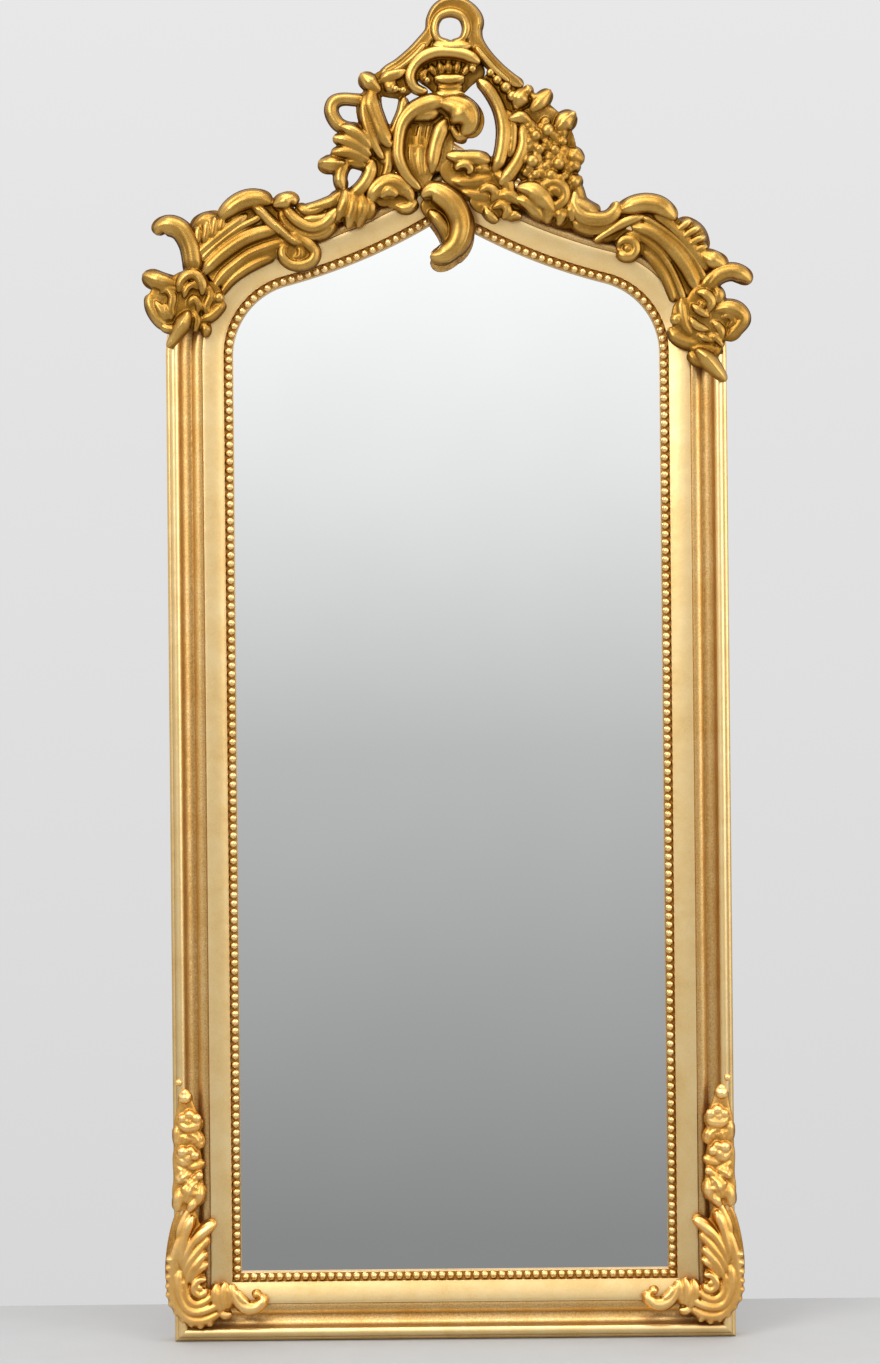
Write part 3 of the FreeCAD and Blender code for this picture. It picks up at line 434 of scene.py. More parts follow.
def pearlTree():
    tree, given, out = newTree("pearlRow", [("Count", "NodeSocketInt"), ("Radius", "NodeSocketFloat"),
                                            ("Size spread", "NodeSocketFloat"), ("Seed", "NodeSocketInt"),
                                            ("Finish", "NodeSocketMaterial")])
    points = addNode(tree, "GeometryNodeResampleCurve", {"mode": "COUNT"},
                     {"Curve": given.outputs["Geometry"], "Count": given.outputs["Count"]})
    pearl = addNode(tree, "GeometryNodeMeshUVSphere",
                    inputs={"Segments": pearlRow["segments"], "Rings": pearlRow["rings"],
                            "Radius": given.outputs["Radius"]})
    low = addNode(tree, "ShaderNodeMath", {"operation": "SUBTRACT"},
                  {0: 1.0, 1: given.outputs["Size spread"]})
    size = addNode(tree, "FunctionNodeRandomValue", {"data_type": "FLOAT"},
                   {2: low.outputs[0], 3: 1.0, "Seed": given.outputs["Seed"]})
    dots = addNode(tree, "GeometryNodeInstanceOnPoints",
                   inputs={"Points": points.outputs[0], "Instance": pearl.outputs[0],
                           "Rotation": (math.pi / 2, 0.0, 0.0), "Scale": size.outputs[1]})
    smooth = addNode(tree, "GeometryNodeSetShadeSmooth", inputs={0: dots.outputs[0]})
    real = addNode(tree, "GeometryNodeRealizeInstances", inputs={0: smooth.outputs[0]})
    finish = addNode(tree, "GeometryNodeSetMaterial",
                     inputs={0: real.outputs[0], "Material": given.outputs["Finish"]})
    tree.links.new(finish.outputs[0], out.inputs[0])
    return tree


def pathCurve(name, points):
    curve = bpy.data.curves.new(name, "CURVE")
    curve.dimensions = "3D"
    spline = curve.splines.new("POLY")
    spline.points.add(len(points) - 1)
    for point, co in zip(spline.points, points):
        point.co = (*co, 1.0)
    return newObject(name, curve)


def pearlPath(path, first, last):
    steps = pearlRow["pathSteps"]
    along = [path(pearlRow["offset"], first + (last - first) * k / steps) for k in range(steps + 1)]
    return [place(x, pearlRow["ledge"] + pearlRow["sink"], z) for x, z in along]


def headPath(u, t):  # shoulder then arch, by length
    bend = (layout["shoulderRadius"] + u) * shoulderTurn
    rise = (archRadius - u) * (math.asin(-archX / (archRadius - u)) - lowSlope)
    s = t * (bend + rise)
    return shoulderPath(u, s / bend) if s < bend else archPath(u, (s - bend) / rise)


def pearlRowLength(path):
    steps = pearlRow["lengthSteps"]
    points = [path(pearlRow["offset"], k / steps) for k in range(steps + 1)]
    return sum(math.dist(a, b) for a, b in zip(points, points[1:]))


pearls = pearlTree()
pearlRows = [("bead_row_left", stilePath, False), ("bead_row_right", stilePath, True),
             ("bead_row_bottom", railPath, False), ("bead_row_head_left", headPath, False),
             ("bead_row_head_right", headPath, True)]
for node, path, flip in pearlRows:
    length = pearlRowLength(path)
    if path is railPath:
        count = round(length / pearlRow["pitch"]) + 1
        first, last = 0.0, 1.0
    elif path is headPath:  # the two rows meet at the mid-plane, a hair apart
        apexTurn = math.asin(-archX / (archRadius - pearlRow["offset"]))
        travel = length - (pearlRow["radius"] + pearlRow["gap"]) / math.cos(apexTurn)
        count = round(travel / pearlRow["pitch"] + 0.5)
        step = travel / (count - 0.5)
        first, last = step / 2 / length, travel / length
    else:
        start = pearlRow["pitch"] / 2
        count = round((length - start) / pearlRow["pitch"])
        step = (length - start) / count
        first, last = (start + step / 2) / length, 1 - step / 2 / length
    points = pearlPath(path, first, last)
    if flip:
        points = [(-x, y, z) for x, y, z in points]
    obj = pathCurve("pearls_" + node, points)
    treeModifier(obj, pearls, {"Count": count, "Radius": pearlRow["radius"] * mm, "Seed": pearlRow["seed"],
                               "Size spread": pearlRow["sizeSpread"], "Finish": goldPearl})
    settle(frozen(obj), node)
print("pearl rows set:", len(pearlRows))


# Carving: every ornament is a list of gouge strokes (kind, lift, stations ...), a station being
# (x, z, half width) from the ornament's own anchor; lift is how far the middle stands over the frame's front.
carving = {"voxel": 1.2, "step": 1.7, "curveSteps": 24, "fewestSteps": 6, "around": 24, "weld": 1e-6,
           "rasp": 0.5, "raspPasses": 3, "thinnest": 0.6, "sharpest": 0.25,
           "tipReach": 1.7, "tipPower": 0.45, "tipShare": 2.2, "shortest": 0.01,
           "lobeByWidth": 1.15, "lobeLow": 0.88, "lobeRise": 0.2, "lobePower": 0.7,
           "bedMargin": 2.4, "bedDrop": 5.0, "bedHalf": 3.8, "bedFull": 4.0,
           "berryRings": 8, "berryAround": 12, "berryRise": 0.9,
           "cell": 2.0, "reach": 7.0, "hollow": 5.5, "groundShare": 8, "backFacing": 0.6}
cornerX = layout["halfSight"] + layout["width"]
anchors = {"crest": (0.0, apexZ), "left": (-cornerX, layout["spring"]), "right": (cornerX, layout["spring"]),
           "foot": (-cornerX, 0.0)}
strokeShape = {"roll": (0.82, 0.75), "gouge": (0.75, 0.8), "rib": (0.95, 0.6),
               "leaf": (0.62, 0.6)}  # height and depth for a half width of 1


def smoothStations(stations):  # Catmull-Rom through the stations, evenly spaced
    p = np.array(stations, float)
    p = np.vstack([2 * p[0] - p[1], p, 2 * p[-1] - p[-2]])
    t = np.linspace(0, 1, carving["curveSteps"], endpoint=False)[:, None]
    dense = []
    for i in range(1, len(p) - 2):
        a, b, c, d = p[i - 1:i + 3]
        curve = 2 * b + (c - a) * t + (2 * a - 5 * b + 4 * c - d) * t ** 2 + (3 * b - a - 3 * c + d) * t ** 3
        dense.append(0.5 * curve)
    dense = np.vstack(dense + [p[-2][None]])
    run = np.concatenate([[0], np.cumsum(np.hypot(*np.diff(dense[:, :2], axis=0).T))])
    count = max(carving["fewestSteps"], int(run[-1] / carving["step"]))
    even = np.linspace(0, run[-1], count)
    return np.stack([np.interp(even, run, dense[:, k]) for k in range(3)], 1), even


def strokeProfile(kind, s, run, pitch):  # height over the width, s from -1 to 1
    dome = np.sqrt(np.clip(1 - s * s, 0, 1))
    if kind == "roll":  # a quirk cut along one side
        return dome - 0.14 * np.exp(-((s - 0.45) / 0.2) ** 2)
    if kind == "gouge":  # hollow run between two rolled edges
        return dome * (0.62 + 0.38 * np.abs(s) ** 1.5) + 0.16 * np.exp(-((np.abs(s) - 0.72) / 0.16) ** 2)
    if kind == "rib":  # sharp arris along the middle
        return 0.75 * (1 - np.abs(s)) ** 0.8 + 0.3 * dome
    flutes = 0.2 * np.cos(2 * math.pi * (run / pitch - 0.7 * np.abs(s)))  # a leaf's, running out to the lobes
    vein = 0.3 * np.exp(-(s / 0.15) ** 2) - 0.16 * np.exp(-((np.abs(s) - 0.36) / 0.16) ** 2)
    return dome * (0.74 + flutes * np.abs(s)) + vein


def strokeWidths(kind, width, run, pitch):  # tips taper, the bed ends round, a leaf has lobes
    longest = run[-1] / carving["tipShare"]
    for end in (run, run[-1] - run):
        if kind == "flat":
            reach = np.clip(width, carving["shortest"], longest)
            width = width * np.sqrt(np.clip(1 - np.clip(1 - end / reach, 0, 1) ** 2, 0, 1))
        else:
            reach = np.clip(carving["tipReach"] * width, carving["shortest"], longest)
            width = width * np.clip(end / reach, 0, 1) ** carving["tipPower"]
    width = np.maximum(width, carving["sharpest"])
    if kind == "leaf":
        lobes = np.abs(np.sin(math.pi * run / pitch))
        width = width * (carving["lobeLow"] + carving["lobeRise"] * lobes ** carving["lobePower"])
    return width


def carveStroke(kind, lift, stations, anchor):
    path, run = smoothStations(stations)
    width = np.maximum(path[:, 2], carving["thinnest"])
    pitch = carving["lobeByWidth"] * width.mean()
    along = np.gradient(path[:, :2], axis=0)
    along /= np.linalg.norm(along, axis=1)[:, None] + 1e-9
    across = np.stack([-along[:, 1], along[:, 0]], 1)
    angle = np.linspace(0, 2 * math.pi, carving["around"], endpoint=False)
    s = np.cos(angle)
    front = np.sin(angle) >= -1e-9
    verts = []
    for i, w in enumerate(strokeWidths(kind, width, run, pitch)):
        if kind == "flat":
            edge = np.sqrt(np.clip(1 - s ** 4, 0, 1))
            rise = np.where(front, 1, -1) * carving["bedHalf"] * edge * min(1, w / carving["bedFull"])
        else:
            high, deep = strokeShape[kind]
            rise = np.where(front, strokeProfile(kind, s, run[i], pitch) * high, np.sin(angle) * deep) * w
        x = anchor[0] + path[i, 0] + across[i, 0] * s * w
        z = anchor[1] + path[i, 1] + across[i, 1] * s * w
        verts += [place(a, layout["frontDepth"] + lift + b, c) for a, b, c in zip(x, rise, z)]
    return verts, ringFaces(len(path), carving["around"])


def carveBerry(x, z, r, lift, anchor):
    verts = []
    rings, around = carving["berryRings"], carving["berryAround"]
    for i in range(rings + 1):
        a = math.pi * i / rings
        for j in range(around):
            b = 2 * math.pi * j / around
            verts.append(place(anchor[0] + x + r * math.sin(a) * math.cos(b),
                               layout["frontDepth"] + lift + r * carving["berryRise"] * math.cos(a),
                               anchor[1] + z + r * math.sin(a) * math.sin(b)))
    return verts, ringFaces(rings + 1, around, capped=False)


def recessValues(mesh):  # how deep the surface lies below what stands round it, 0.5 level with it
    co = np.empty(len(mesh.vertices) * 3)
    mesh.vertices.foreach_get("co", co)
    co = co.reshape(-1, 3) / mm
    column, row = (((co[:, k] - co[:, k].min()) / carving["cell"]).astype(int) for k in (0, 2))
    depth = -co[:, 1]
    relief = np.full((row.max() + 1, column.max() + 1), -np.inf)
    np.maximum.at(relief, (row, column), depth)
    empty = np.isinf(relief)
    relief[empty] = np.percentile(relief[~empty], carving["groundShare"])
    span = np.arange(-3 * carving["reach"], 3 * carving["reach"] + 1, carving["cell"])
    weight = np.exp(-0.5 * (span / carving["reach"]) ** 2)
    weight /= weight.sum()
    for axis in (0, 1):
        pad = [(0, 0), (0, 0)]
        pad[axis] = (len(span) // 2, len(span) // 2)
        padded = np.pad(relief, pad, mode="edge")
        relief = np.apply_along_axis(np.convolve, axis, padded, weight, "valid")
    hollow = (relief[row, column] - depth) / carving["hollow"]
    return np.clip(0.5 + 0.5 * hollow, 0, 1)


def carvedOrnament(name, anchorName, strokes, flip=False):
    anchor = anchors[anchorName]
    verts, faces = [], []
    for kind, lift, *stations in strokes:
        if kind == "berry":
            lumps = [carveBerry(x, z, r, lift, anchor) for x, z, r in stations]
        else:
            lumps = [carveStroke(kind, lift, stations, anchor)]
            if kind != "flat":  # every stroke stands on a bed left by the ground cutting
                bed = [(x, z, r + carving["bedMargin"]) for x, z, r in stations]
                lumps.append(carveStroke("flat", lift - carving["bedDrop"], bed, anchor))
        for v, f in lumps:
            base = len(verts)
            verts += [(-x, y, z) for x, y, z in v] if flip else v
            faces += [tuple(i + base for i in face) for face in f]
    obj = newObject(name, solidMesh(name, verts, faces, carving["weld"]))
    remesh = obj.modifiers.new("block", "REMESH")
    remesh.mode = "VOXEL"
    remesh.voxel_size = carving["voxel"] * mm
    soften = obj.modifiers.new("rasp", "SMOOTH")
    soften.factor = carving["rasp"]
    soften.iterations = carving["raspPasses"]
    frozen(obj)
    mesh = obj.data
    # recess paints shade into the hollows of the carving and a highlight onto its high parts, through the
    # gilt material
    mesh.attributes.new("recess", "FLOAT", "POINT").data.foreach_set("value", recessValues(mesh))
    mesh.polygons.foreach_set("use_smooth", [True] * len(mesh.polygons))
    mesh.materials.clear()
    mesh.materials.append(goldFoot if anchorName == "foot" else goldHead)
    mesh.materials.append(ochreBack)
    backwards = [int(face.normal.y > carving["backFacing"]) for face in mesh.polygons]
    mesh.polygons.foreach_set("material_index", backwards)
    print("carved", name, len(mesh.polygons), "faces")
    return obj


carvedPieces = {}
carvedPieces["crest_shell"] = ("crest", [
    ("roll", 6, (-32, 31, 5), (-50, 50, 7), (-61, 74, 8), (-61, 97, 8), (-56, 120, 9), (-42, 137, 11),
        (-19, 147, 12), (5, 149, 13)),
    ("roll", 8, (-8, 148, 12), (15, 142, 19), (29, 128, 22), (32, 115, 19), (24, 103, 11)),
    ("roll", 3, (-46, 126, 6), (-30, 132, 9), (-14, 134, 10), (-4, 138, 5)),
    ("roll", 3, (6, 127, 9), (-3, 114, 11), (-11, 92, 10), (-15, 71, 9), (-17, 52, 5)),
    ("roll", 4, (32, 102, 7), (20, 102, 6), (13, 111, 5), (10, 121, 5)),
    ("roll", -2, (-44, 117, 3), (-48, 95, 4), (-45, 68, 4)),
    ("roll", -2, (-31, 121, 3), (-35, 95, 4), (-33, 66, 4)),
    ("roll", -2, (-19, 122, 3), (-23, 95, 4), (-23, 68, 4)),
    ("flat", -6, (-30, 127, 24), (-36, 103, 27), (-37, 79, 27), (-35, 60, 24)),
    ("flat", -4, (-36, 106, 19), (-36, 84, 26), (-35, 66, 26)),
    ("flat", -2, (-36, 93, 16), (-36, 74, 26), (-33, 55, 23)),
    ("flat", -1, (-36, 82, 13), (-35, 66, 25), (-32, 49, 22), (-26, 35, 13)),
    ("roll", 1, (-45, 93, 2), (-45, 74, 4), (-38, 52, 3), (-30, 39, 2)),
    ("roll", 1, (-33, 90, 2), (-33, 68, 4), (-29, 47, 3)),
    ("roll", 1, (-22, 90, 2), (-23, 68, 4), (-24, 49, 3)),
    ("flat", -6, (-19, 138, 12), (2, 135, 13), (21, 128, 12)),
    ("flat", -1, (-2, 114, 15), (-6, 84, 18), (-11, 55, 16)),
])
carvedPieces["crest_fan"] = ("crest", [
    ("roll", 4, (-21, 166, 4), (-29, 164, 5), (-40, 170, 6), (-45, 183, 7), (-40, 197, 7), (-28, 209, 8),
        (-10, 216, 8), (10, 216, 8), (30, 212, 8), (50, 201, 7)),
    ("roll", -4, (-10, 184, 4), (-15, 194, 5), (-19, 202, 5)),
    ("roll", -4, (-1, 185, 4), (-4, 197, 5), (-6, 206, 5)),
    ("roll", -4, (8, 185, 4), (7, 198, 6), (7, 208, 5)),
    ("roll", -4, (17, 185, 4), (19, 197, 5), (21, 207, 5)),
    ("roll", -4, (25, 184, 4), (31, 194, 5), (35, 203, 5)),
    ("roll", 3, (-13, 182, 5), (8, 179, 7), (29, 182, 5)),
    ("roll", 0, (-9, 170, 5), (8, 168, 6), (26, 170, 5)),
    ("roll", 1, (-12, 161, 5), (8, 158, 7), (28, 161, 5)),
    ("roll", -2, (-30, 176, 5), (-28, 187, 6), (-21, 195, 5)),
    ("berry", 0, (-22, 179, 5), (39, 194, 6)),
    ("flat", -9, (10, 228, 24), (9, 208, 46), (7, 186, 48), (7, 168, 32), (7, 153, 27)),
])
carvedPieces["crest_finial_loop"] = ("crest", [
    ("roll", 3, (43, 224, 3), (55, 208, 4), (70, 191, 4), (89, 175, 3)),
    ("roll", 3, (-78, 186, 3), (-57, 197, 3), (-38, 212, 4), (-24, 228, 3)),
    ("gouge", -3, (-87, 183, 5), (-73, 191, 9), (-58, 199, 10), (-40, 214, 10), (-26, 230, 9),
        (-16, 246, 7), (-13, 261, 8), (-4, 274, 10), (11, 279, 12), (28, 274, 13), (40, 260, 13),
        (40, 245, 11), (43, 231, 10), (54, 214, 9), (70, 197, 8), (88, 181, 8), (107, 169, 7)),
    ("roll", 2, (-15, 226, 7), (10, 222, 9), (39, 225, 8)),
    ("roll", 3, (10, 227, 4), (-7, 233, 4), (-12, 248, 4), (-6, 264, 4), (10, 270, 5), (26, 264, 5),
        (32, 248, 5), (26, 233, 4), (10, 227, 4)),
    ("flat", -5, (-18, 226, 11), (10, 220, 12), (41, 224, 11)),
])
carvedPieces["crest_right_scroll"] = ("crest", [
    ("roll", 3, (46, 180, 6), (62, 163, 8), (74, 140, 8), (80, 116, 9), (79, 92, 9), (74, 70, 9),
        (65, 54, 8)),
    ("flat", -4, (56, 186, 12), (78, 166, 16), (93, 140, 17), (96, 113, 17), (92, 86, 16), (80, 60, 15)),
    ("roll", 2, (83, 139, 5), (92, 119, 6), (92, 94, 6), (88, 73, 5)),
    ("berry", 2, (63, 188, 6), (72, 178, 7), (83, 168, 8), (92, 156, 8), (98, 143, 6)),
    ("roll", 4, (1, 78, 7), (21, 74, 9), (42, 73, 10), (63, 69, 9)),
    ("roll", 9, (15, 56, 4), (20, 63, 5), (30, 64, 6), (35, 57, 5), (30, 51, 4)),
    ("roll", 0, (36, 57, 9), (51, 60, 10), (63, 56, 9)),
    ("roll", -1, (6, 45, 8), (27, 42, 9), (48, 44, 10), (67, 49, 8)),
    ("roll", -2, (19, 32, 6), (36, 26, 8), (51, 24, 8), (68, 18, 6)),
    ("roll", -3, (36, 15, 6), (52, 10, 7), (66, 8, 6)),
    ("roll", 1, (65, 54, 9), (80, 45, 10), (86, 30, 9), (77, 16, 7)),
    ("roll", 2, (66, 18, 6), (80, 24, 10), (94, 19, 9), (107, 8, 5)),
    ("flat", -1, (-6, 65, 16), (18, 55, 22), (44, 44, 24), (71, 38, 22), (87, 33, 16)),
    ("flat", -2, (33, 19, 12), (63, 11, 17), (87, 8, 15)),
    ("roll", 3, (45, 28, 4), (58, 34, 6), (68, 26, 7), (62, 14, 5)),
    ("roll", 3, (63, 5, 4), (76, 11, 6), (84, 3, 7), (77, -9, 5)),
    ("roll", 2, (54, 9, 4), (59, -2, 6), (72, -12, 5)),
    ("roll", 2, (84, -10, 4), (93, -3, 6), (104, -6, 4)),
])
carvedPieces["crest_pendant_leaf"] = ("crest", [
    ("roll", 6, (-32, 22, 7), (-18, 30, 12), (-2, 23, 15), (13, 8, 16), (21, -13, 15), (19, -32, 14),
        (10, -47, 13), (-5, -57, 12), (-21, -58, 8)),
    ("roll", 2, (-22, 4, 6), (-10, -7, 8), (-1, -21, 8), (2, -35, 6), (-1, -48, 4)),
    ("roll", 5, (-1, 33, 4), (18, 16, 5), (31, -5, 5), (33, -24, 5), (27, -42, 5), (14, -58, 4)),
    ("rib", 12, (-7, 22, 3), (9, 3, 4), (16, -18, 4), (9, -40, 3), (-5, -53, 2)),
    ("flat", -4, (-31, 17, 11), (-18, 9, 16), (2, -2, 20), (14, -21, 16)),
])
carvedPieces["crest_base_scroll"] = ("crest", [
    ("roll", 1, (-101, 11, 7), (-95, 28, 11), (-81, 40, 13), (-65, 41, 13), (-50, 29, 11), (-42, 15, 8)),
    ("roll", 6, (-87, 21, 7), (-75, 31, 9), (-62, 23, 7)),
    ("roll", -1, (-66, 11, 5), (-50, 8, 7), (-36, 18, 6)),
    ("rib", 6, (-97, 20, 3), (-89, 37, 4), (-71, 48, 4), (-55, 41, 4), (-44, 25, 3)),
    ("flat", -3, (-93, 15, 12), (-74, 28, 20), (-53, 19, 16), (-37, 15, 10)),
])
carvedPieces["crest_leaf_spray"] = ("crest", [
    ("roll", 2, (-48, 192, 5), (-63, 187, 8), (-77, 183, 8), (-87, 176, 5)),
    ("roll", 3, (-84, 163, 10), (-98, 175, 11), (-107, 184, 10), (-112, 189, 6)),
    ("roll", -1, (-82, 180, 8), (-71, 171, 10), (-59, 163, 7)),
    ("roll", 1, (-101, 152, 8), (-118, 154, 7), (-136, 155, 7), (-147, 151, 8), (-151, 141, 8),
        (-148, 130, 8), (-140, 120, 8), (-127, 115, 8), (-111, 115, 8)),
    ("roll", 3, (-96, 168, 12), (-97, 147, 12), (-90, 126, 11), (-82, 107, 11), (-73, 94, 9), (-64, 97, 5)),
    ("roll", 5, (-105, 160, 5), (-107, 139, 6), (-102, 114, 7), (-92, 90, 6), (-81, 72, 4)),
    ("roll", 1, (-53, 158, 5), (-56, 138, 6), (-64, 119, 6), (-72, 102, 5)),
    ("flat", -4, (-99, 176, 13), (-78, 176, 19), (-56, 173, 19), (-40, 168, 13)),
    ("flat", -1, (-102, 166, 13), (-101, 139, 17), (-92, 112, 18), (-79, 90, 18), (-74, 66, 16)),
    ("roll", 7, (-98, 87, 6), (-112, 103, 8), (-126, 112, 8), (-140, 118, 4)),
    ("roll", 5, (-97, 77, 6), (-114, 90, 8), (-131, 98, 8), (-150, 103, 5)),
    ("roll", 3, (-99, 70, 6), (-120, 80, 8), (-136, 83, 8), (-153, 82, 5)),
    ("roll", 1, (-103, 63, 5), (-119, 69, 6), (-133, 71, 6)),
    ("flat", -4, (-135, 107, 12), (-127, 90, 19), (-114, 77, 19), (-101, 66, 13)),
    ("roll", 2, (-130, 67, 9), (-148, 67, 11), (-161, 68, 11), (-170, 71, 8)),
    ("rib", 8, (-132, 68, 3), (-149, 68, 4), (-165, 70, 3)),
    ("roll", 1, (-128, 74, 8), (-137, 61, 8), (-140, 47, 8), (-135, 32, 8)),
    ("roll", 3, (-97, 74, 9), (-99, 57, 9), (-107, 41, 9), (-119, 29, 9), (-132, 24, 8)),
    ("flat", -4, (-88, 104, 12), (-82, 82, 19), (-83, 60, 22), (-93, 42, 19), (-102, 24, 13)),
    ("roll", -1, (-76, 90, 6), (-74, 71, 7), (-79, 52, 6), (-89, 39, 5)),
    ("roll", 4, (-133, 34, 7), (-133, 16, 10), (-140, 1, 8), (-146, -10, 4)),
    ("roll", 5, (-123, 31, 7), (-122, 11, 10), (-127, -7, 8), (-131, -20, 4)),
    ("roll", 4, (-112, 28, 7), (-110, 9, 10), (-114, -7, 7), (-117, -19, 3)),
    ("roll", 2, (-102, 25, 6), (-100, 7, 8), (-103, -8, 4)),
    ("flat", -4, (-139, 26, 13), (-123, 10, 22), (-112, 4, 16)),
    ("roll", -2, (-137, 32, 9), (-148, 19, 9), (-163, 13, 8), (-178, 9, 7), (-193, 7, 6)),
    ("roll", 2, (-140, 6, 5), (-155, -3, 7), (-171, -7, 7), (-192, -6, 6)),
    ("roll", 0, (-142, -5, 4), (-158, -14, 5), (-177, -16, 5), (-193, -15, 4)),
    ("flat", -5, (-142, 15, 13), (-163, 2, 16), (-193, -3, 15)),
    ("berry", 5, (-54, 165, 5), (-64, 167, 5), (-102, 61, 5), (-91, 88, 5)),
])
carvedPieces["crest_flower_spray"] = ("crest", [
    ("roll", 2, (96, 138, 11), (103, 154, 13), (109, 167, 11)),
    ("roll", 5, (111, 154, 4), (113, 164, 6), (112, 172, 4)),
    ("roll", 1, (115, 134, 11), (129, 148, 11), (144, 165, 7)),
    ("roll", 2, (118, 148, 8), (127, 159, 7)),
    ("roll", 3, (148, 107, 12), (164, 123, 13), (177, 133, 11)),
    ("rib", 9, (151, 110, 3), (166, 125, 4), (177, 134, 3)),
    ("roll", 1, (161, 83, 11), (176, 74, 12), (188, 68, 9)),
    ("roll", 2, (164, 70, 8), (176, 62, 9), (184, 61, 6)),
    ("roll", 1, (163, 37, 9), (176, 42, 10), (185, 48, 6)),
    ("roll", 6, (118, 119, 6), (103, 127, 9), (86, 124, 7)),
    ("roll", 4, (104, 118, 6), (107, 94, 8), (101, 73, 9), (89, 54, 10), (73, 36, 10)),
    ("roll", 8, (96, 33, 8), (116, 29, 13), (132, 16, 14), (147, -2, 9)),
    ("roll", 5, (92, 19, 6), (109, 14, 9), (123, 2, 9), (133, -11, 5)),
    ("roll", 5, (140, 15, 8), (139, -3, 9), (136, -16, 5)),
    ("roll", 4, (154, 12, 8), (155, -6, 9), (152, -19, 5)),
    ("roll", 4, (168, 17, 8), (170, -1, 9), (171, -14, 5)),
    ("roll", 2, (162, 19, 9), (178, 10, 10), (194, 1, 10), (208, -6, 8)),
    ("roll", -2, (166, 51, 8), (177, 32, 8), (183, 15, 8), (197, 6, 7), (210, 3, 5)),
    ("roll", 1, (176, -8, 5), (192, -16, 6), (208, -19, 5)),
    ("flat", -1, (105, 137, 16), (126, 113, 38), (136, 78, 43), (135, 46, 40), (127, 16, 30)),
    ("flat", -5, (130, 8, 19), (157, 3, 24), (184, -3, 19), (208, -8, 13)),
    ("flat", -4, (97, 154, 13), (118, 143, 16), (140, 127, 16), (161, 105, 13)),
    ("berry", 1, (115, 116, 10), (136, 121, 8), (158, 106, 9), (113, 85, 9), (161, 80, 10), (166, 58, 9),
        (110, 54, 8), (116, 36, 9), (163, 31, 10), (142, 73, 11), (130, 59, 10), (150, 94, 9)),
    ("berry", 6, (123, 102, 9), (139, 109, 10), (128, 84, 8), (148, 83, 8), (118, 68, 10), (136, 61, 7),
        (153, 64, 10), (123, 50, 8), (143, 48, 10), (132, 35, 8), (155, 44, 8), (149, 27, 9)),
    ("berry", 4, (118, 109, 7), (130, 114, 7), (147, 102, 8), (159, 94, 7), (115, 94, 7), (133, 99, 6),
        (123, 89, 7), (138, 89, 8), (155, 75, 8), (109, 71, 7), (126, 69, 7), (141, 64, 8), (161, 67, 7),
        (114, 59, 7), (134, 48, 8), (147, 56, 7), (161, 48, 7), (117, 46, 7), (125, 39, 7), (106, 84, 6),
        (108, 100, 6)),
    ("roll", 8, (129, 22, 4), (134, 35, 7), (147, 39, 8), (159, 32, 8), (161, 18, 7), (151, 9, 7),
        (139, 12, 5)),
    ("roll", 10, (141, 20, 4), (144, 29, 6), (152, 27, 6), (151, 18, 4)),
    ("roll", 7, (130, 95, 4), (138, 93, 6), (144, 96, 4)),
    ("roll", 7, (120, 84, 4), (125, 75, 5), (132, 73, 4)),
    ("roll", 7, (140, 81, 4), (143, 71, 5), (149, 73, 4)),
    ("roll", 7, (155, 84, 4), (159, 73, 6), (155, 63, 4)),
    ("roll", 8, (125, 59, 4), (132, 51, 5), (140, 52, 4)),
    ("roll", 6, (136, 40, 4), (141, 32, 6), (136, 23, 4)),
    ("roll", 6, (114, 100, 4), (118, 91, 5), (115, 80, 4)),
    ("roll", 5, (148, 116, 4), (156, 116, 6), (163, 110, 4)),
])
carvedPieces["shoulder_scroll_left"] = ("left", [
    ("roll", 1, (47, 124, 5), (62, 139, 5), (80, 154, 5), (101, 169, 5), (119, 178, 5), (133, 185, 5)),
    ("roll", -1, (50, 104, 8), (62, 120, 10), (82, 138, 11), (107, 154, 11), (134, 163, 10), (157, 165, 7)),
    ("roll", -2, (62, 83, 4), (77, 105, 7), (94, 120, 7), (114, 134, 7), (137, 143, 7), (159, 149, 6),
        (176, 150, 4)),
    ("roll", -4, (73, 79, 3), (89, 99, 5), (107, 113, 6), (126, 123, 6), (148, 131, 4)),
    ("rib", 3, (125, 200, 5), (140, 182, 6), (155, 167, 7), (172, 152, 7), (188, 145, 7)),
    ("roll", 1, (169, 169, 6), (182, 155, 7), (195, 145, 8), (202, 135, 7), (198, 124, 7), (185, 118, 7),
        (169, 120, 6), (159, 130, 6), (159, 141, 5), (167, 145, 5)),
    ("roll", 1, (176, 145, 4), (183, 138, 5), (181, 129, 5), (173, 129, 4)),
    ("flat", -2, (157, 133, 12), (168, 134, 17), (183, 134, 18), (203, 132, 12)),
    ("flat", -4, (62, 97, 15), (89, 119, 21), (120, 138, 21), (151, 148, 19), (176, 146, 13)),
])
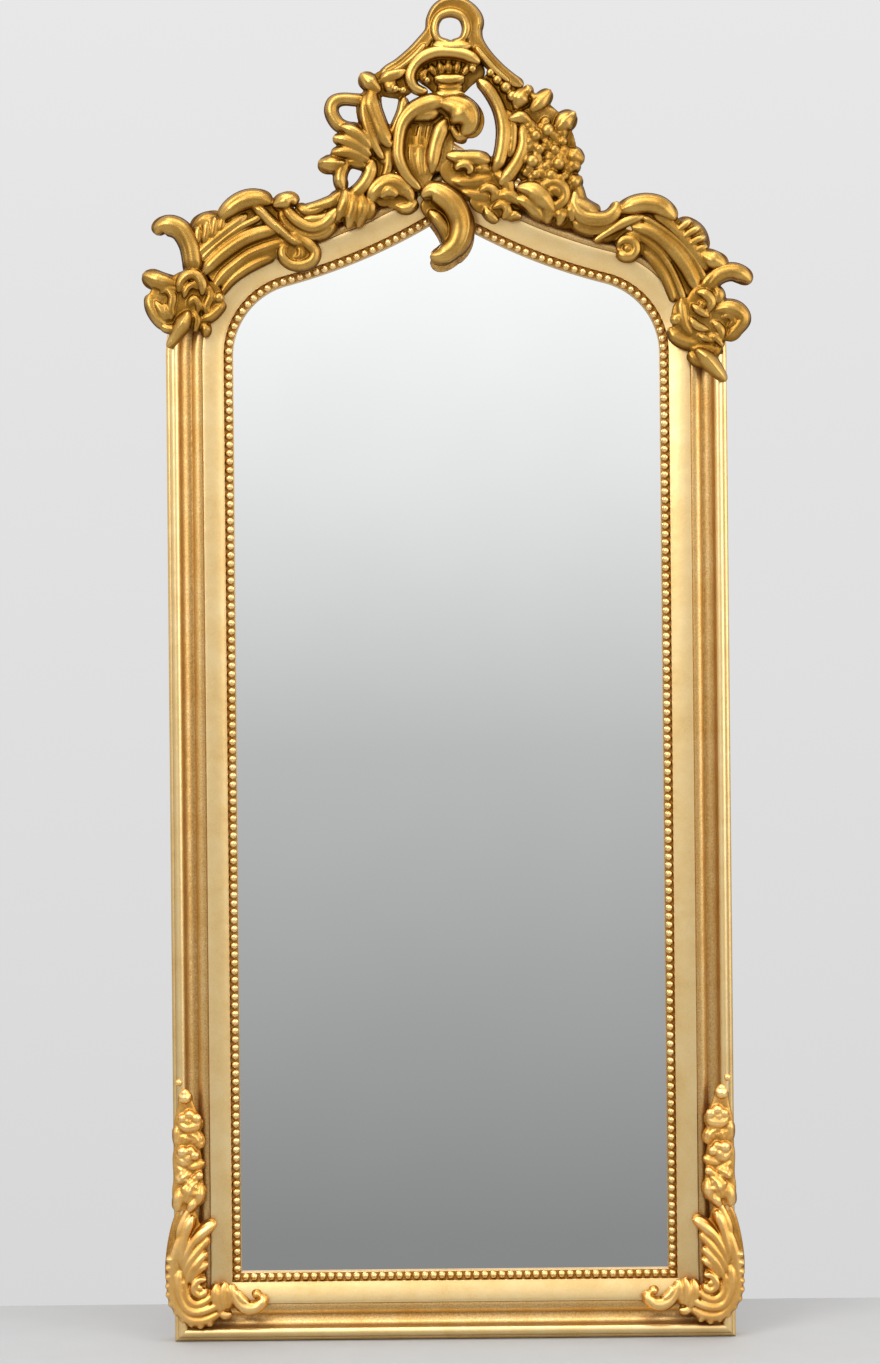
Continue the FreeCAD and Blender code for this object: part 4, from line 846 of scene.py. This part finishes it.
carvedPieces["shoulder_leaf_left"] = ("left", [
    ("roll", 3, (75, 179, 9), (93, 197, 12), (111, 206, 13), (129, 207, 12), (146, 201, 10)),
    ("roll", 7, (90, 187, 4), (105, 200, 5), (123, 206, 5), (138, 204, 4)),
    ("roll", 6, (146, 197, 8), (159, 202, 11), (172, 205, 10), (178, 198, 7)),
    ("roll", -9, (36, 160, 10), (51, 172, 16), (69, 178, 15), (85, 179, 10)),
    ("roll", 2, (43, 143, 4), (45, 157, 5), (46, 172, 5)),
    ("roll", 4, (53, 147, 4), (56, 162, 5), (58, 179, 5)),
    ("roll", 4, (64, 153, 4), (67, 168, 5), (69, 184, 5)),
    ("roll", 3, (74, 160, 4), (77, 173, 5), (80, 187, 4)),
    ("rib", 3, (118, 199, 7), (132, 188, 7), (147, 172, 7), (166, 157, 6)),
    ("roll", 4, (162, 200, 6), (168, 188, 7), (180, 176, 8), (197, 168, 8), (213, 172, 8), (225, 183, 8),
        (233, 194, 6)),
    ("roll", 0, (157, 196, 5), (161, 178, 6), (174, 164, 7), (195, 157, 7), (215, 161, 7), (231, 176, 6)),
    ("roll", -3, (176, 199, 7), (190, 191, 8), (205, 192, 8), (222, 205, 7)),
    ("flat", -4, (39, 135, 13), (78, 164, 17), (109, 185, 19), (144, 190, 17), (163, 181, 13)),
    ("flat", -5, (159, 194, 10), (174, 177, 17), (197, 175, 19), (221, 184, 15)),
    ("roll", 0, (35, 126, 7), (63, 150, 8), (90, 171, 8), (113, 187, 7)),
])
carvedPieces["corner_spray_left"] = ("left", [
    ("roll", 2, (40, 102, 12), (37, 135, 13), (32, 152, 13), (22, 167, 13), (8, 173, 13), (-5, 170, 11),
        (-10, 160, 8)),
    ("roll", 6, (45, 112, 5), (42, 137, 6), (37, 154, 5)),
    ("roll", 2, (21, 91, 11), (-1, 96, 12), (-17, 102, 12), (-30, 108, 9)),
    ("roll", 6, (18, 85, 4), (0, 89, 5), (-15, 94, 4)),
    ("roll", 8, (19, 81, 4), (22, 95, 6), (31, 105, 7), (43, 105, 7), (51, 93, 7), (51, 77, 4)),
    ("roll", 8, (26, 74, 4), (31, 88, 5), (40, 92, 5), (44, 85, 3)),
    ("roll", 6, (31, 64, 4), (39, 74, 5), (46, 66, 5), (44, 54, 3)),
    ("roll", 6, (-6, 82, 4), (4, 86, 5), (11, 76, 6), (9, 60, 5), (13, 49, 3)),
    ("roll", 6, (-13, 72, 4), (-4, 58, 6), (4, 45, 5)),
    ("roll", 3, (-21, 82, 5), (-18, 63, 7), (-8, 46, 7), (4, 35, 5)),
    ("roll", 6, (-1, 69, 3), (3, 57, 5), (11, 45, 3)),
    ("roll", 5, (-6, 39, 4), (7, 34, 5), (18, 40, 4)),
    ("rib", 8, (33, 58, 12), (29, 48, 12), (21, 35, 10), (13, 21, 6), (4, 8, 3)),
    ("roll", 5, (38, 58, 4), (44, 45, 5), (40, 29, 3)),
    ("roll", 4, (55, 95, 4), (62, 79, 6), (56, 62, 6), (61, 50, 4)),
    ("roll", 2, (45, 45, 5), (61, 51, 7), (73, 61, 6), (81, 70, 4)),
    ("berry", 2, (73, 75, 8)),
    ("roll", 1, (50, 43, 5), (55, 33, 6), (53, 22, 3)),
    ("flat", 2, (35, 112, 15), (29, 89, 29), (29, 66, 33), (31, 45, 21)),
    ("flat", 1, (-11, 93, 12), (-4, 74, 18), (6, 53, 18), (15, 37, 12)),
    ("flat", 0, (52, 97, 13), (62, 73, 18), (57, 49, 13)),
])
carvedPieces["shoulder_scroll_right"] = ("right", [
    ("roll", 1, (-113, 180, 5), (-92, 166, 5), (-73, 152, 5), (-56, 137, 5), (-42, 119, 5), (-31, 98, 5),
        (-23, 83, 4)),
    ("roll", -1, (-128, 165, 6), (-109, 162, 9), (-90, 152, 10), (-71, 135, 11), (-55, 114, 11),
        (-44, 93, 10), (-37, 74, 7)),
    ("roll", -2, (-142, 150, 3), (-126, 155, 5), (-109, 147, 5), (-91, 133, 5), (-77, 114, 5),
        (-67, 93, 5), (-59, 72, 5), (-56, 58, 3)),
    ("roll", -4, (-111, 134, 3), (-97, 120, 4), (-84, 103, 5), (-75, 82, 5), (-70, 64, 3)),
    ("roll", 1, (-178, 146, 3), (-162, 156, 5), (-144, 167, 7), (-126, 175, 7), (-108, 180, 5)),
    ("flat", -6, (-171, 151, 8), (-146, 160, 12), (-122, 164, 11)),
    ("roll", 0, (-147, 140, 5), (-137, 148, 6), (-125, 146, 7), (-121, 135, 7), (-128, 126, 6),
        (-139, 127, 6), (-143, 135, 5)),
    ("berry", 0, (-133, 136, 6)),
    ("flat", -4, (-148, 137, 10), (-138, 137, 15), (-128, 137, 15), (-119, 137, 10)),
    ("flat", -6, (-123, 151, 12), (-96, 136, 18), (-75, 110, 20), (-62, 83, 18), (-55, 64, 13)),
])
carvedPieces["shoulder_leaf_right"] = ("right", [
    ("roll", 3, (-146, 185, 8), (-126, 193, 12), (-107, 196, 13), (-89, 192, 13), (-75, 181, 11),
        (-67, 173, 7)),
    ("roll", 7, (-136, 188, 3), (-116, 195, 5), (-97, 195, 5), (-82, 184, 4)),
    ("roll", 4, (-146, 200, 8), (-148, 186, 9), (-160, 176, 10), (-178, 175, 11), (-193, 180, 10),
        (-202, 194, 8), (-203, 214, 7)),
    ("roll", 0, (-143, 182, 5), (-157, 166, 7), (-176, 161, 7), (-195, 166, 7), (-207, 178, 6)),
    ("roll", -9, (-67, 174, 8), (-53, 166, 13), (-42, 156, 15), (-35, 143, 13), (-31, 128, 8)),
    ("roll", 3, (-68, 158, 4), (-56, 166, 5), (-46, 174, 4)),
    ("roll", 4, (-60, 149, 4), (-47, 157, 5), (-34, 164, 4)),
    ("roll", 4, (-53, 139, 4), (-40, 146, 5), (-27, 151, 4)),
    ("roll", 3, (-46, 129, 4), (-34, 135, 5), (-24, 138, 4)),
    ("roll", 2, (-36, 130, 9), (-23, 122, 12), (-9, 115, 12), (0, 107, 10)),
    ("leaf", 6, (-29, 124, 4), (-17, 117, 5), (-6, 112, 4)),
    ("flat", -4, (-143, 180, 10), (-114, 186, 15), (-88, 174, 17), (-61, 151, 18), (-40, 129, 18),
        (-23, 104, 16)),
    ("flat", -5, (-199, 176, 12), (-176, 171, 15), (-153, 174, 13)),
    ("roll", 0, (-99, 185, 6), (-76, 168, 7), (-55, 148, 8), (-39, 127, 8), (-26, 105, 7)),
])
carvedPieces["corner_spray_right"] = ("right", [
    ("roll", 2, (-31, 74, 8), (-14, 97, 11), (5, 104, 11), (20, 100, 11), (34, 89, 8)),
    ("roll", 5, (-35, 81, 4), (-23, 95, 6), (-10, 103, 5)),
    ("roll", 3, (-18, 51, 8), (-1, 55, 11), (13, 51, 12), (21, 40, 10), (12, 26, 8), (-1, 12, 6)),
    ("roll", 5, (-7, 41, 4), (3, 45, 6), (9, 37, 6), (1, 27, 4)),
    ("roll", 7, (-42, 76, 4), (-30, 74, 7), (-21, 63, 7), (-26, 48, 5)),
    ("roll", 7, (-48, 60, 4), (-37, 51, 6), (-23, 42, 4)),
    ("roll", 6, (-39, 64, 3), (-33, 60, 5), (-32, 53, 3)),
    ("roll", 7, (-51, 43, 4), (-40, 30, 6), (-24, 25, 4)),
    ("roll", 6, (-21, 38, 4), (-9, 26, 6), (-7, 11, 4)),
    ("roll", 6, (-24, 20, 4), (-15, 14, 5), (-5, 2, 3)),
    ("roll", 4, (-17, 85, 5), (-10, 72, 7), (-13, 58, 5)),
    ("roll", 3, (-61, 70, 5), (-60, 53, 7), (-56, 33, 7), (-46, 18, 5)),
    ("roll", 6, (-40, 20, 3), (-30, 14, 5), (-17, 10, 3)),
    ("berry", 1, (-68, 40, 9)),
    ("roll", 0, (-78, 30, 6), (-66, 15, 8), (-48, 8, 8), (-30, 11, 5)),
    ("roll", 3, (-51, 3, 5), (-31, -1, 7), (-10, 2, 5)),
    ("roll", 1, (-30, -9, 5), (-17, -5, 7), (-7, 4, 5)),
    ("rib", 8, (-43, 0, 10), (-30, -11, 11), (-21, -21, 10), (-11, -33, 7), (-2, -44, 3)),
    ("roll", 3, (-52, -3, 5), (-42, -15, 6), (-31, -24, 3)),
    ("flat", 2, (-29, 89, 15), (-31, 62, 25), (-28, 31, 31), (-28, 3, 19)),
    ("flat", 1, (-14, 49, 13), (1, 39, 19), (5, 27, 17), (-7, 14, 13)),
    ("flat", 0, (-54, 70, 13), (-57, 43, 18), (-51, 16, 15)),
])
carvedPieces["side_drop_left"] = ("foot", [
    ("berry", 1, (9, 349, 5)),
    ("roll", 2, (9, 334, 6), (17, 329, 9), (25, 335, 6)),
    ("berry", 2, (17, 335, 6)),
    ("roll", 0, (17, 324, 3), (18, 317, 3), (18, 312, 3)),
    ("berry", 3, (14, 301, 6), (23, 306, 7), (32, 301, 7), (21, 297, 6)),
    ("roll", 2, (8, 299, 6), (17, 290, 8), (30, 291, 8), (37, 302, 5)),
    ("roll", 0, (7, 291, 5), (6, 277, 5), (8, 263, 5)),
    ("leaf", 1, (17, 280, 6), (28, 278, 8), (35, 269, 7), (37, 259, 5)),
    ("leaf", 1, (22, 284, 5), (17, 274, 7), (14, 264, 6)),
    ("berry", 3, (14, 256, 8), (24, 258, 6), (29, 251, 7), (19, 247, 6)),
    ("roll", 1, (5, 252, 6), (16, 243, 8), (29, 245, 6)),
    ("roll", 0, (16, 234, 5), (31, 237, 6), (43, 242, 4)),
    ("roll", 0, (5, 237, 5), (13, 231, 6), (21, 230, 5)),
    ("leaf", 3, (5, 214, 6), (14, 222, 8), (24, 227, 7)),
    ("berry", 2, (35, 224, 6), (29, 220, 5)),
    ("leaf", 4, (16, 187, 8), (21, 201, 11), (27, 212, 11), (34, 217, 7)),
    ("roll", 1, (6, 175, 6), (7, 191, 7), (11, 208, 6)),
    ("roll", 3, (18, 175, 5), (26, 186, 6), (29, 196, 4)),
    ("roll", 1, (31, 183, 6), (35, 201, 8), (37, 213, 6)),
    ("flat", -2, (15, 336, 8), (18, 316, 12), (20, 293, 19), (19, 269, 17), (19, 247, 20), (20, 222, 20),
        (20, 202, 22), (18, 175, 19)),
])
carvedPieces["foot_acanthus_left"] = ("foot", [
    ("roll", 4, (6, 103, 2), (2, 109, 3), (-4, 111, 4), (-11, 112, 2)),
    ("roll", 4, (6, 94, 2), (1, 98, 3), (-5, 100, 4), (-12, 99, 2)),
    ("roll", 4, (6, 84, 2), (0, 87, 3), (-6, 88, 4), (-12, 86, 2)),
    ("roll", 4, (6, 74, 2), (0, 77, 3), (-6, 76, 4), (-12, 74, 2)),
    ("roll", 4, (8, 64, 2), (1, 66, 3), (-5, 65, 4), (-11, 61, 2)),
    ("roll", 4, (10, 55, 2), (4, 55, 3), (-2, 53, 4), (-7, 48, 2)),
    ("roll", 4, (15, 47, 2), (8, 46, 3), (4, 42, 4), (0, 37, 2)),
    ("roll", 4, (21, 41, 2), (15, 38, 3), (12, 32, 4), (11, 26, 2)),
    ("roll", 4, (30, 36, 2), (25, 32, 3), (23, 26, 4), (23, 20, 2)),
    ("roll", 4, (39, 36, 2), (36, 31, 3), (35, 24, 4), (37, 18, 2)),
    ("roll", 4, (49, 39, 2), (46, 33, 3), (47, 27, 4), (50, 21, 2)),
    ("roll", 5, (8, 106, 5), (11, 125, 6), (16, 144, 6), (21, 159, 6), (27, 171, 3)),
    ("roll", 5, (11, 97, 4), (16, 116, 6), (25, 133, 6), (39, 147, 7), (56, 160, 3)),
    ("roll", 5, (13, 87, 4), (18, 104, 6), (28, 118, 6), (48, 141, 3)),
    ("roll", 6, (17, 79, 4), (22, 95, 5), (31, 107, 6), (45, 122, 3)),
    ("roll", 5, (22, 79, 3), (28, 93, 5), (39, 102, 5), (47, 107, 2)),
    ("roll", 3, (3, 74, 5), (-1, 90, 6), (0, 109, 6), (5, 128, 6), (10, 142, 5), (19, 163, 2)),
    ("roll", 2, (7, 132, 5), (10, 151, 6), (16, 168, 5), (22, 184, 2)),
    ("roll", 2, (29, 137, 5), (39, 150, 6), (50, 158, 6), (59, 158, 3)),
    ("roll", 3, (-1, 102, 5), (-2, 79, 6), (1, 58, 7), (10, 42, 7), (23, 31, 7), (43, 31, 6), (63, 41, 3)),
    ("roll", 6, (8, 98, 4), (6, 77, 6), (10, 58, 6), (19, 45, 6), (34, 42, 6), (53, 48, 5), (66, 59, 3)),
    ("roll", 5, (16, 89, 4), (15, 74, 5), (19, 59, 6), (29, 52, 6), (43, 56, 5), (52, 66, 3)),
    ("roll", 7, (44, 85, 3), (34, 84, 4), (28, 78, 5), (27, 70, 5), (34, 64, 4), (41, 67, 4), (42, 74, 3)),
    ("berry", 7, (35, 74, 4)),
    ("roll", 5, (63, 40, 4), (57, 54, 6), (55, 67, 6), (57, 80, 3)),
    ("roll", 6, (67, 43, 4), (65, 58, 6), (66, 71, 5), (69, 82, 2)),
    ("roll", 5, (72, 45, 3), (74, 57, 5), (76, 70, 5), (77, 78, 2)),
    ("roll", 3, (58, 43, 4), (67, 37, 5), (78, 39, 3)),
    ("roll", 5, (75, 79, 5), (80, 63, 6), (89, 51, 7), (100, 46, 8), (111, 48, 7), (119, 56, 6),
        (116, 64, 3)),
    ("roll", 7, (83, 70, 3), (91, 58, 4), (101, 52, 3)),
    ("roll", 2, (105, 60, 4), (111, 64, 5), (115, 60, 4)),
    ("roll", 3, (5, 116, 3), (4, 102, 5), (6, 87, 3)),
    ("flat", -4, (19, 183, 12), (16, 155, 20), (15, 120, 26), (15, 87, 27), (23, 60, 26), (43, 52, 20),
        (68, 56, 15), (86, 52, 9)),
])
for name, (anchorName, strokes) in carvedPieces.items():
    settle(carvedOrnament("carved_" + name, anchorName, strokes), name)
for name in ("side_drop", "foot_acanthus"):  # the right ones mirror the left
    anchorName, strokes = carvedPieces[name + "_left"]
    mirrored = carvedOrnament("carved_" + name + "_right", anchorName, strokes, flip=True)
    settle(mirrored, name + "_right")
print("ornaments carved")


# CAD nodes that are right as they are get their finish
turnButtons = [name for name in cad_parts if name.startswith("turn_button_")]
finishes = [(mirrorGlass, ["mirror_glass"]), (brownBoard, ["backing_board"]), (beechDowel, ["joint_dowels"]),
            (zincSteel, ["joint_plates", "corner_plates", "plate_screws", "crest_screws", "hanger_screws"]),
            (corkSheet, ["glass_pads"]), (blackRubber, ["setting_blocks"]), (greyFelt, ["wall_pad"]),
            (pineBlock, ["crest_support_block"]), (pressedBrass, turnButtons),
            (nickelSteel, ["hanger_strap_left", "hanger_strap_right"]),
            (nickelSteel, ["hanger_ring_left", "hanger_ring_right"])]
for material, names in finishes:
    for name in names:
        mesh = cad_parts[name].data
        mesh.materials.clear()
        mesh.materials.append(material)
print("hardware finished:", sum(len(names) for material, names in finishes))


# Studio: pale floor, soft boxes, a light tent that shades from white above to grey below
studio = {"floor": "#A2A2A2", "floorMottle": "#A0A0A0", "mottle": 60.0, "floorRoughness": 0.8,
          "floorDrop": 0.0004, "floorSize": (1.7, 0.62), "floorFront": 0.62,
          "backdropLow": "#D6D6D6", "backdropHigh": "#E8E8E8",
          "tentReach": 0.5, "tent": [(0.0, 0.94), (0.18, 0.94), (0.25, 0.65), (0.31, 0.262), (0.34, 0.275),
                                     (0.48, 0.54), (0.56, 0.857), (0.66, 1.166), (1.0, 1.25)]}
softBoxes = [{"name": "keyBox", "at": (-1.6, -2.6, 2.6), "aim": (0, 0, 0.9), "size": (1.4, 1.8), "power": 55},
             {"name": "fillBox", "at": (2.6, -1.8, 1.6), "aim": (0, 0, 0.8), "size": (2.2, 2.4), "power": 36},
             {"name": "topBox", "at": (0.0, -1.0, 3.2), "aim": (0, 0, 1.2), "size": (1.8, 0.8), "power": 22}]


def studioFloor():
    x, y = studio["floorSize"]
    front, back = -y * studio["floorFront"], y * (1 - studio["floorFront"])
    z = -layout["padCentre"] * mm - studio["floorDrop"]
    mesh = bpy.data.meshes.new("paleFloor")
    corners = [(-x / 2, front, z), (x / 2, front, z), (x / 2, back, z), (-x / 2, back, z)]
    mesh.from_pydata(corners, [], [(0, 1, 2, 3)])
    mat, tree, shader = newMaterial("matFloorPaint", Roughness=studio["floorRoughness"])
    mottle = noise(tree, objectSpace(tree), studio["mottle"], Detail=3.0)
    tinted(tree, shader, mottle, [(0.3, studio["floorMottle"]), (0.7, studio["floor"])])
    floor = newObject("paleFloor", mesh, mat)


def hangSoftBox(box):
    light = bpy.data.lights.new(box["name"], "AREA")
    light.shape = "RECTANGLE"
    light.size, light.size_y = box["size"]
    light.energy = box["power"]
    obj = bpy.data.objects.new(box["name"], light)
    obj.location = box["at"]
    obj.rotation_euler = (Vector(box["aim"]) - Vector(box["at"])).to_track_quat("-Z", "Y").to_euler()
    bpy.context.scene.collection.objects.link(obj)


def lightTent():
    world = bpy.data.worlds.new("lightTent")
    bpy.context.scene.world = world
    world.use_nodes = True
    tree = world.node_tree
    tree.nodes.clear()
    direction = addNode(tree, "ShaderNodeTexCoord").outputs["Generated"]
    height = addNode(tree, "ShaderNodeSeparateXYZ", inputs={0: direction}).outputs["Z"]
    level = ranged(tree, height, (-studio["tentReach"], studio["tentReach"]), (0.0, 1.0))
    stops = [(position, (value, value, value, 1.0)) for position, value in studio["tent"]]
    tent = addNode(tree, "ShaderNodeValToRGB", {"stops": stops}, {"Fac": level}).outputs[0]
    paper = ramp(tree, level, [(0.3, studio["backdropLow"]), (0.7, studio["backdropHigh"])])
    shine, seen = (addNode(tree, "ShaderNodeBackground", inputs={"Color": colour, "Strength": 1.0}).outputs[0]
                   for colour in (tent, paper))
    path = addNode(tree, "ShaderNodeLightPath").outputs["Is Camera Ray"]
    mix = addNode(tree, "ShaderNodeMixShader", inputs={0: path, 1: shine, 2: seen})
    addNode(tree, "ShaderNodeOutputWorld", inputs={0: mix.outputs[0]})


studioFloor()
for box in softBoxes:
    hangSoftBox(box)
lightTent()

# Camera: square on, at the middle of the frame's height, the top leaning a little to the left
view = {"distance": 4.6, "aim": (-0.0125, -0.04, 0.865), "frameHeight": 1.8346, "roll": 0.55, "sensor": 24.0,
        "clipEnd": 60}
camera = bpy.data.cameras.new("photoCamera")
camera.sensor_fit = "VERTICAL"
camera.sensor_height = view["sensor"]
camera.lens = view["sensor"] * view["distance"] / view["frameHeight"]
camera.clip_end = view["clipEnd"]
cameraObject = bpy.data.objects.new("photoCamera", camera)
bpy.context.scene.collection.objects.link(cameraObject)
standpoint = Matrix.Translation(Vector(view["aim"]) + Vector((0, -view["distance"], 0)))
level = Matrix.Rotation(math.pi / 2, 4, "X")
cameraObject.matrix_world = standpoint @ level @ Matrix.Rotation(math.radians(-view["roll"]), 4, "Z")
bpy.context.scene.camera = cameraObject
bpy.context.scene.view_settings.view_transform = "Standard"
print("studio ready")
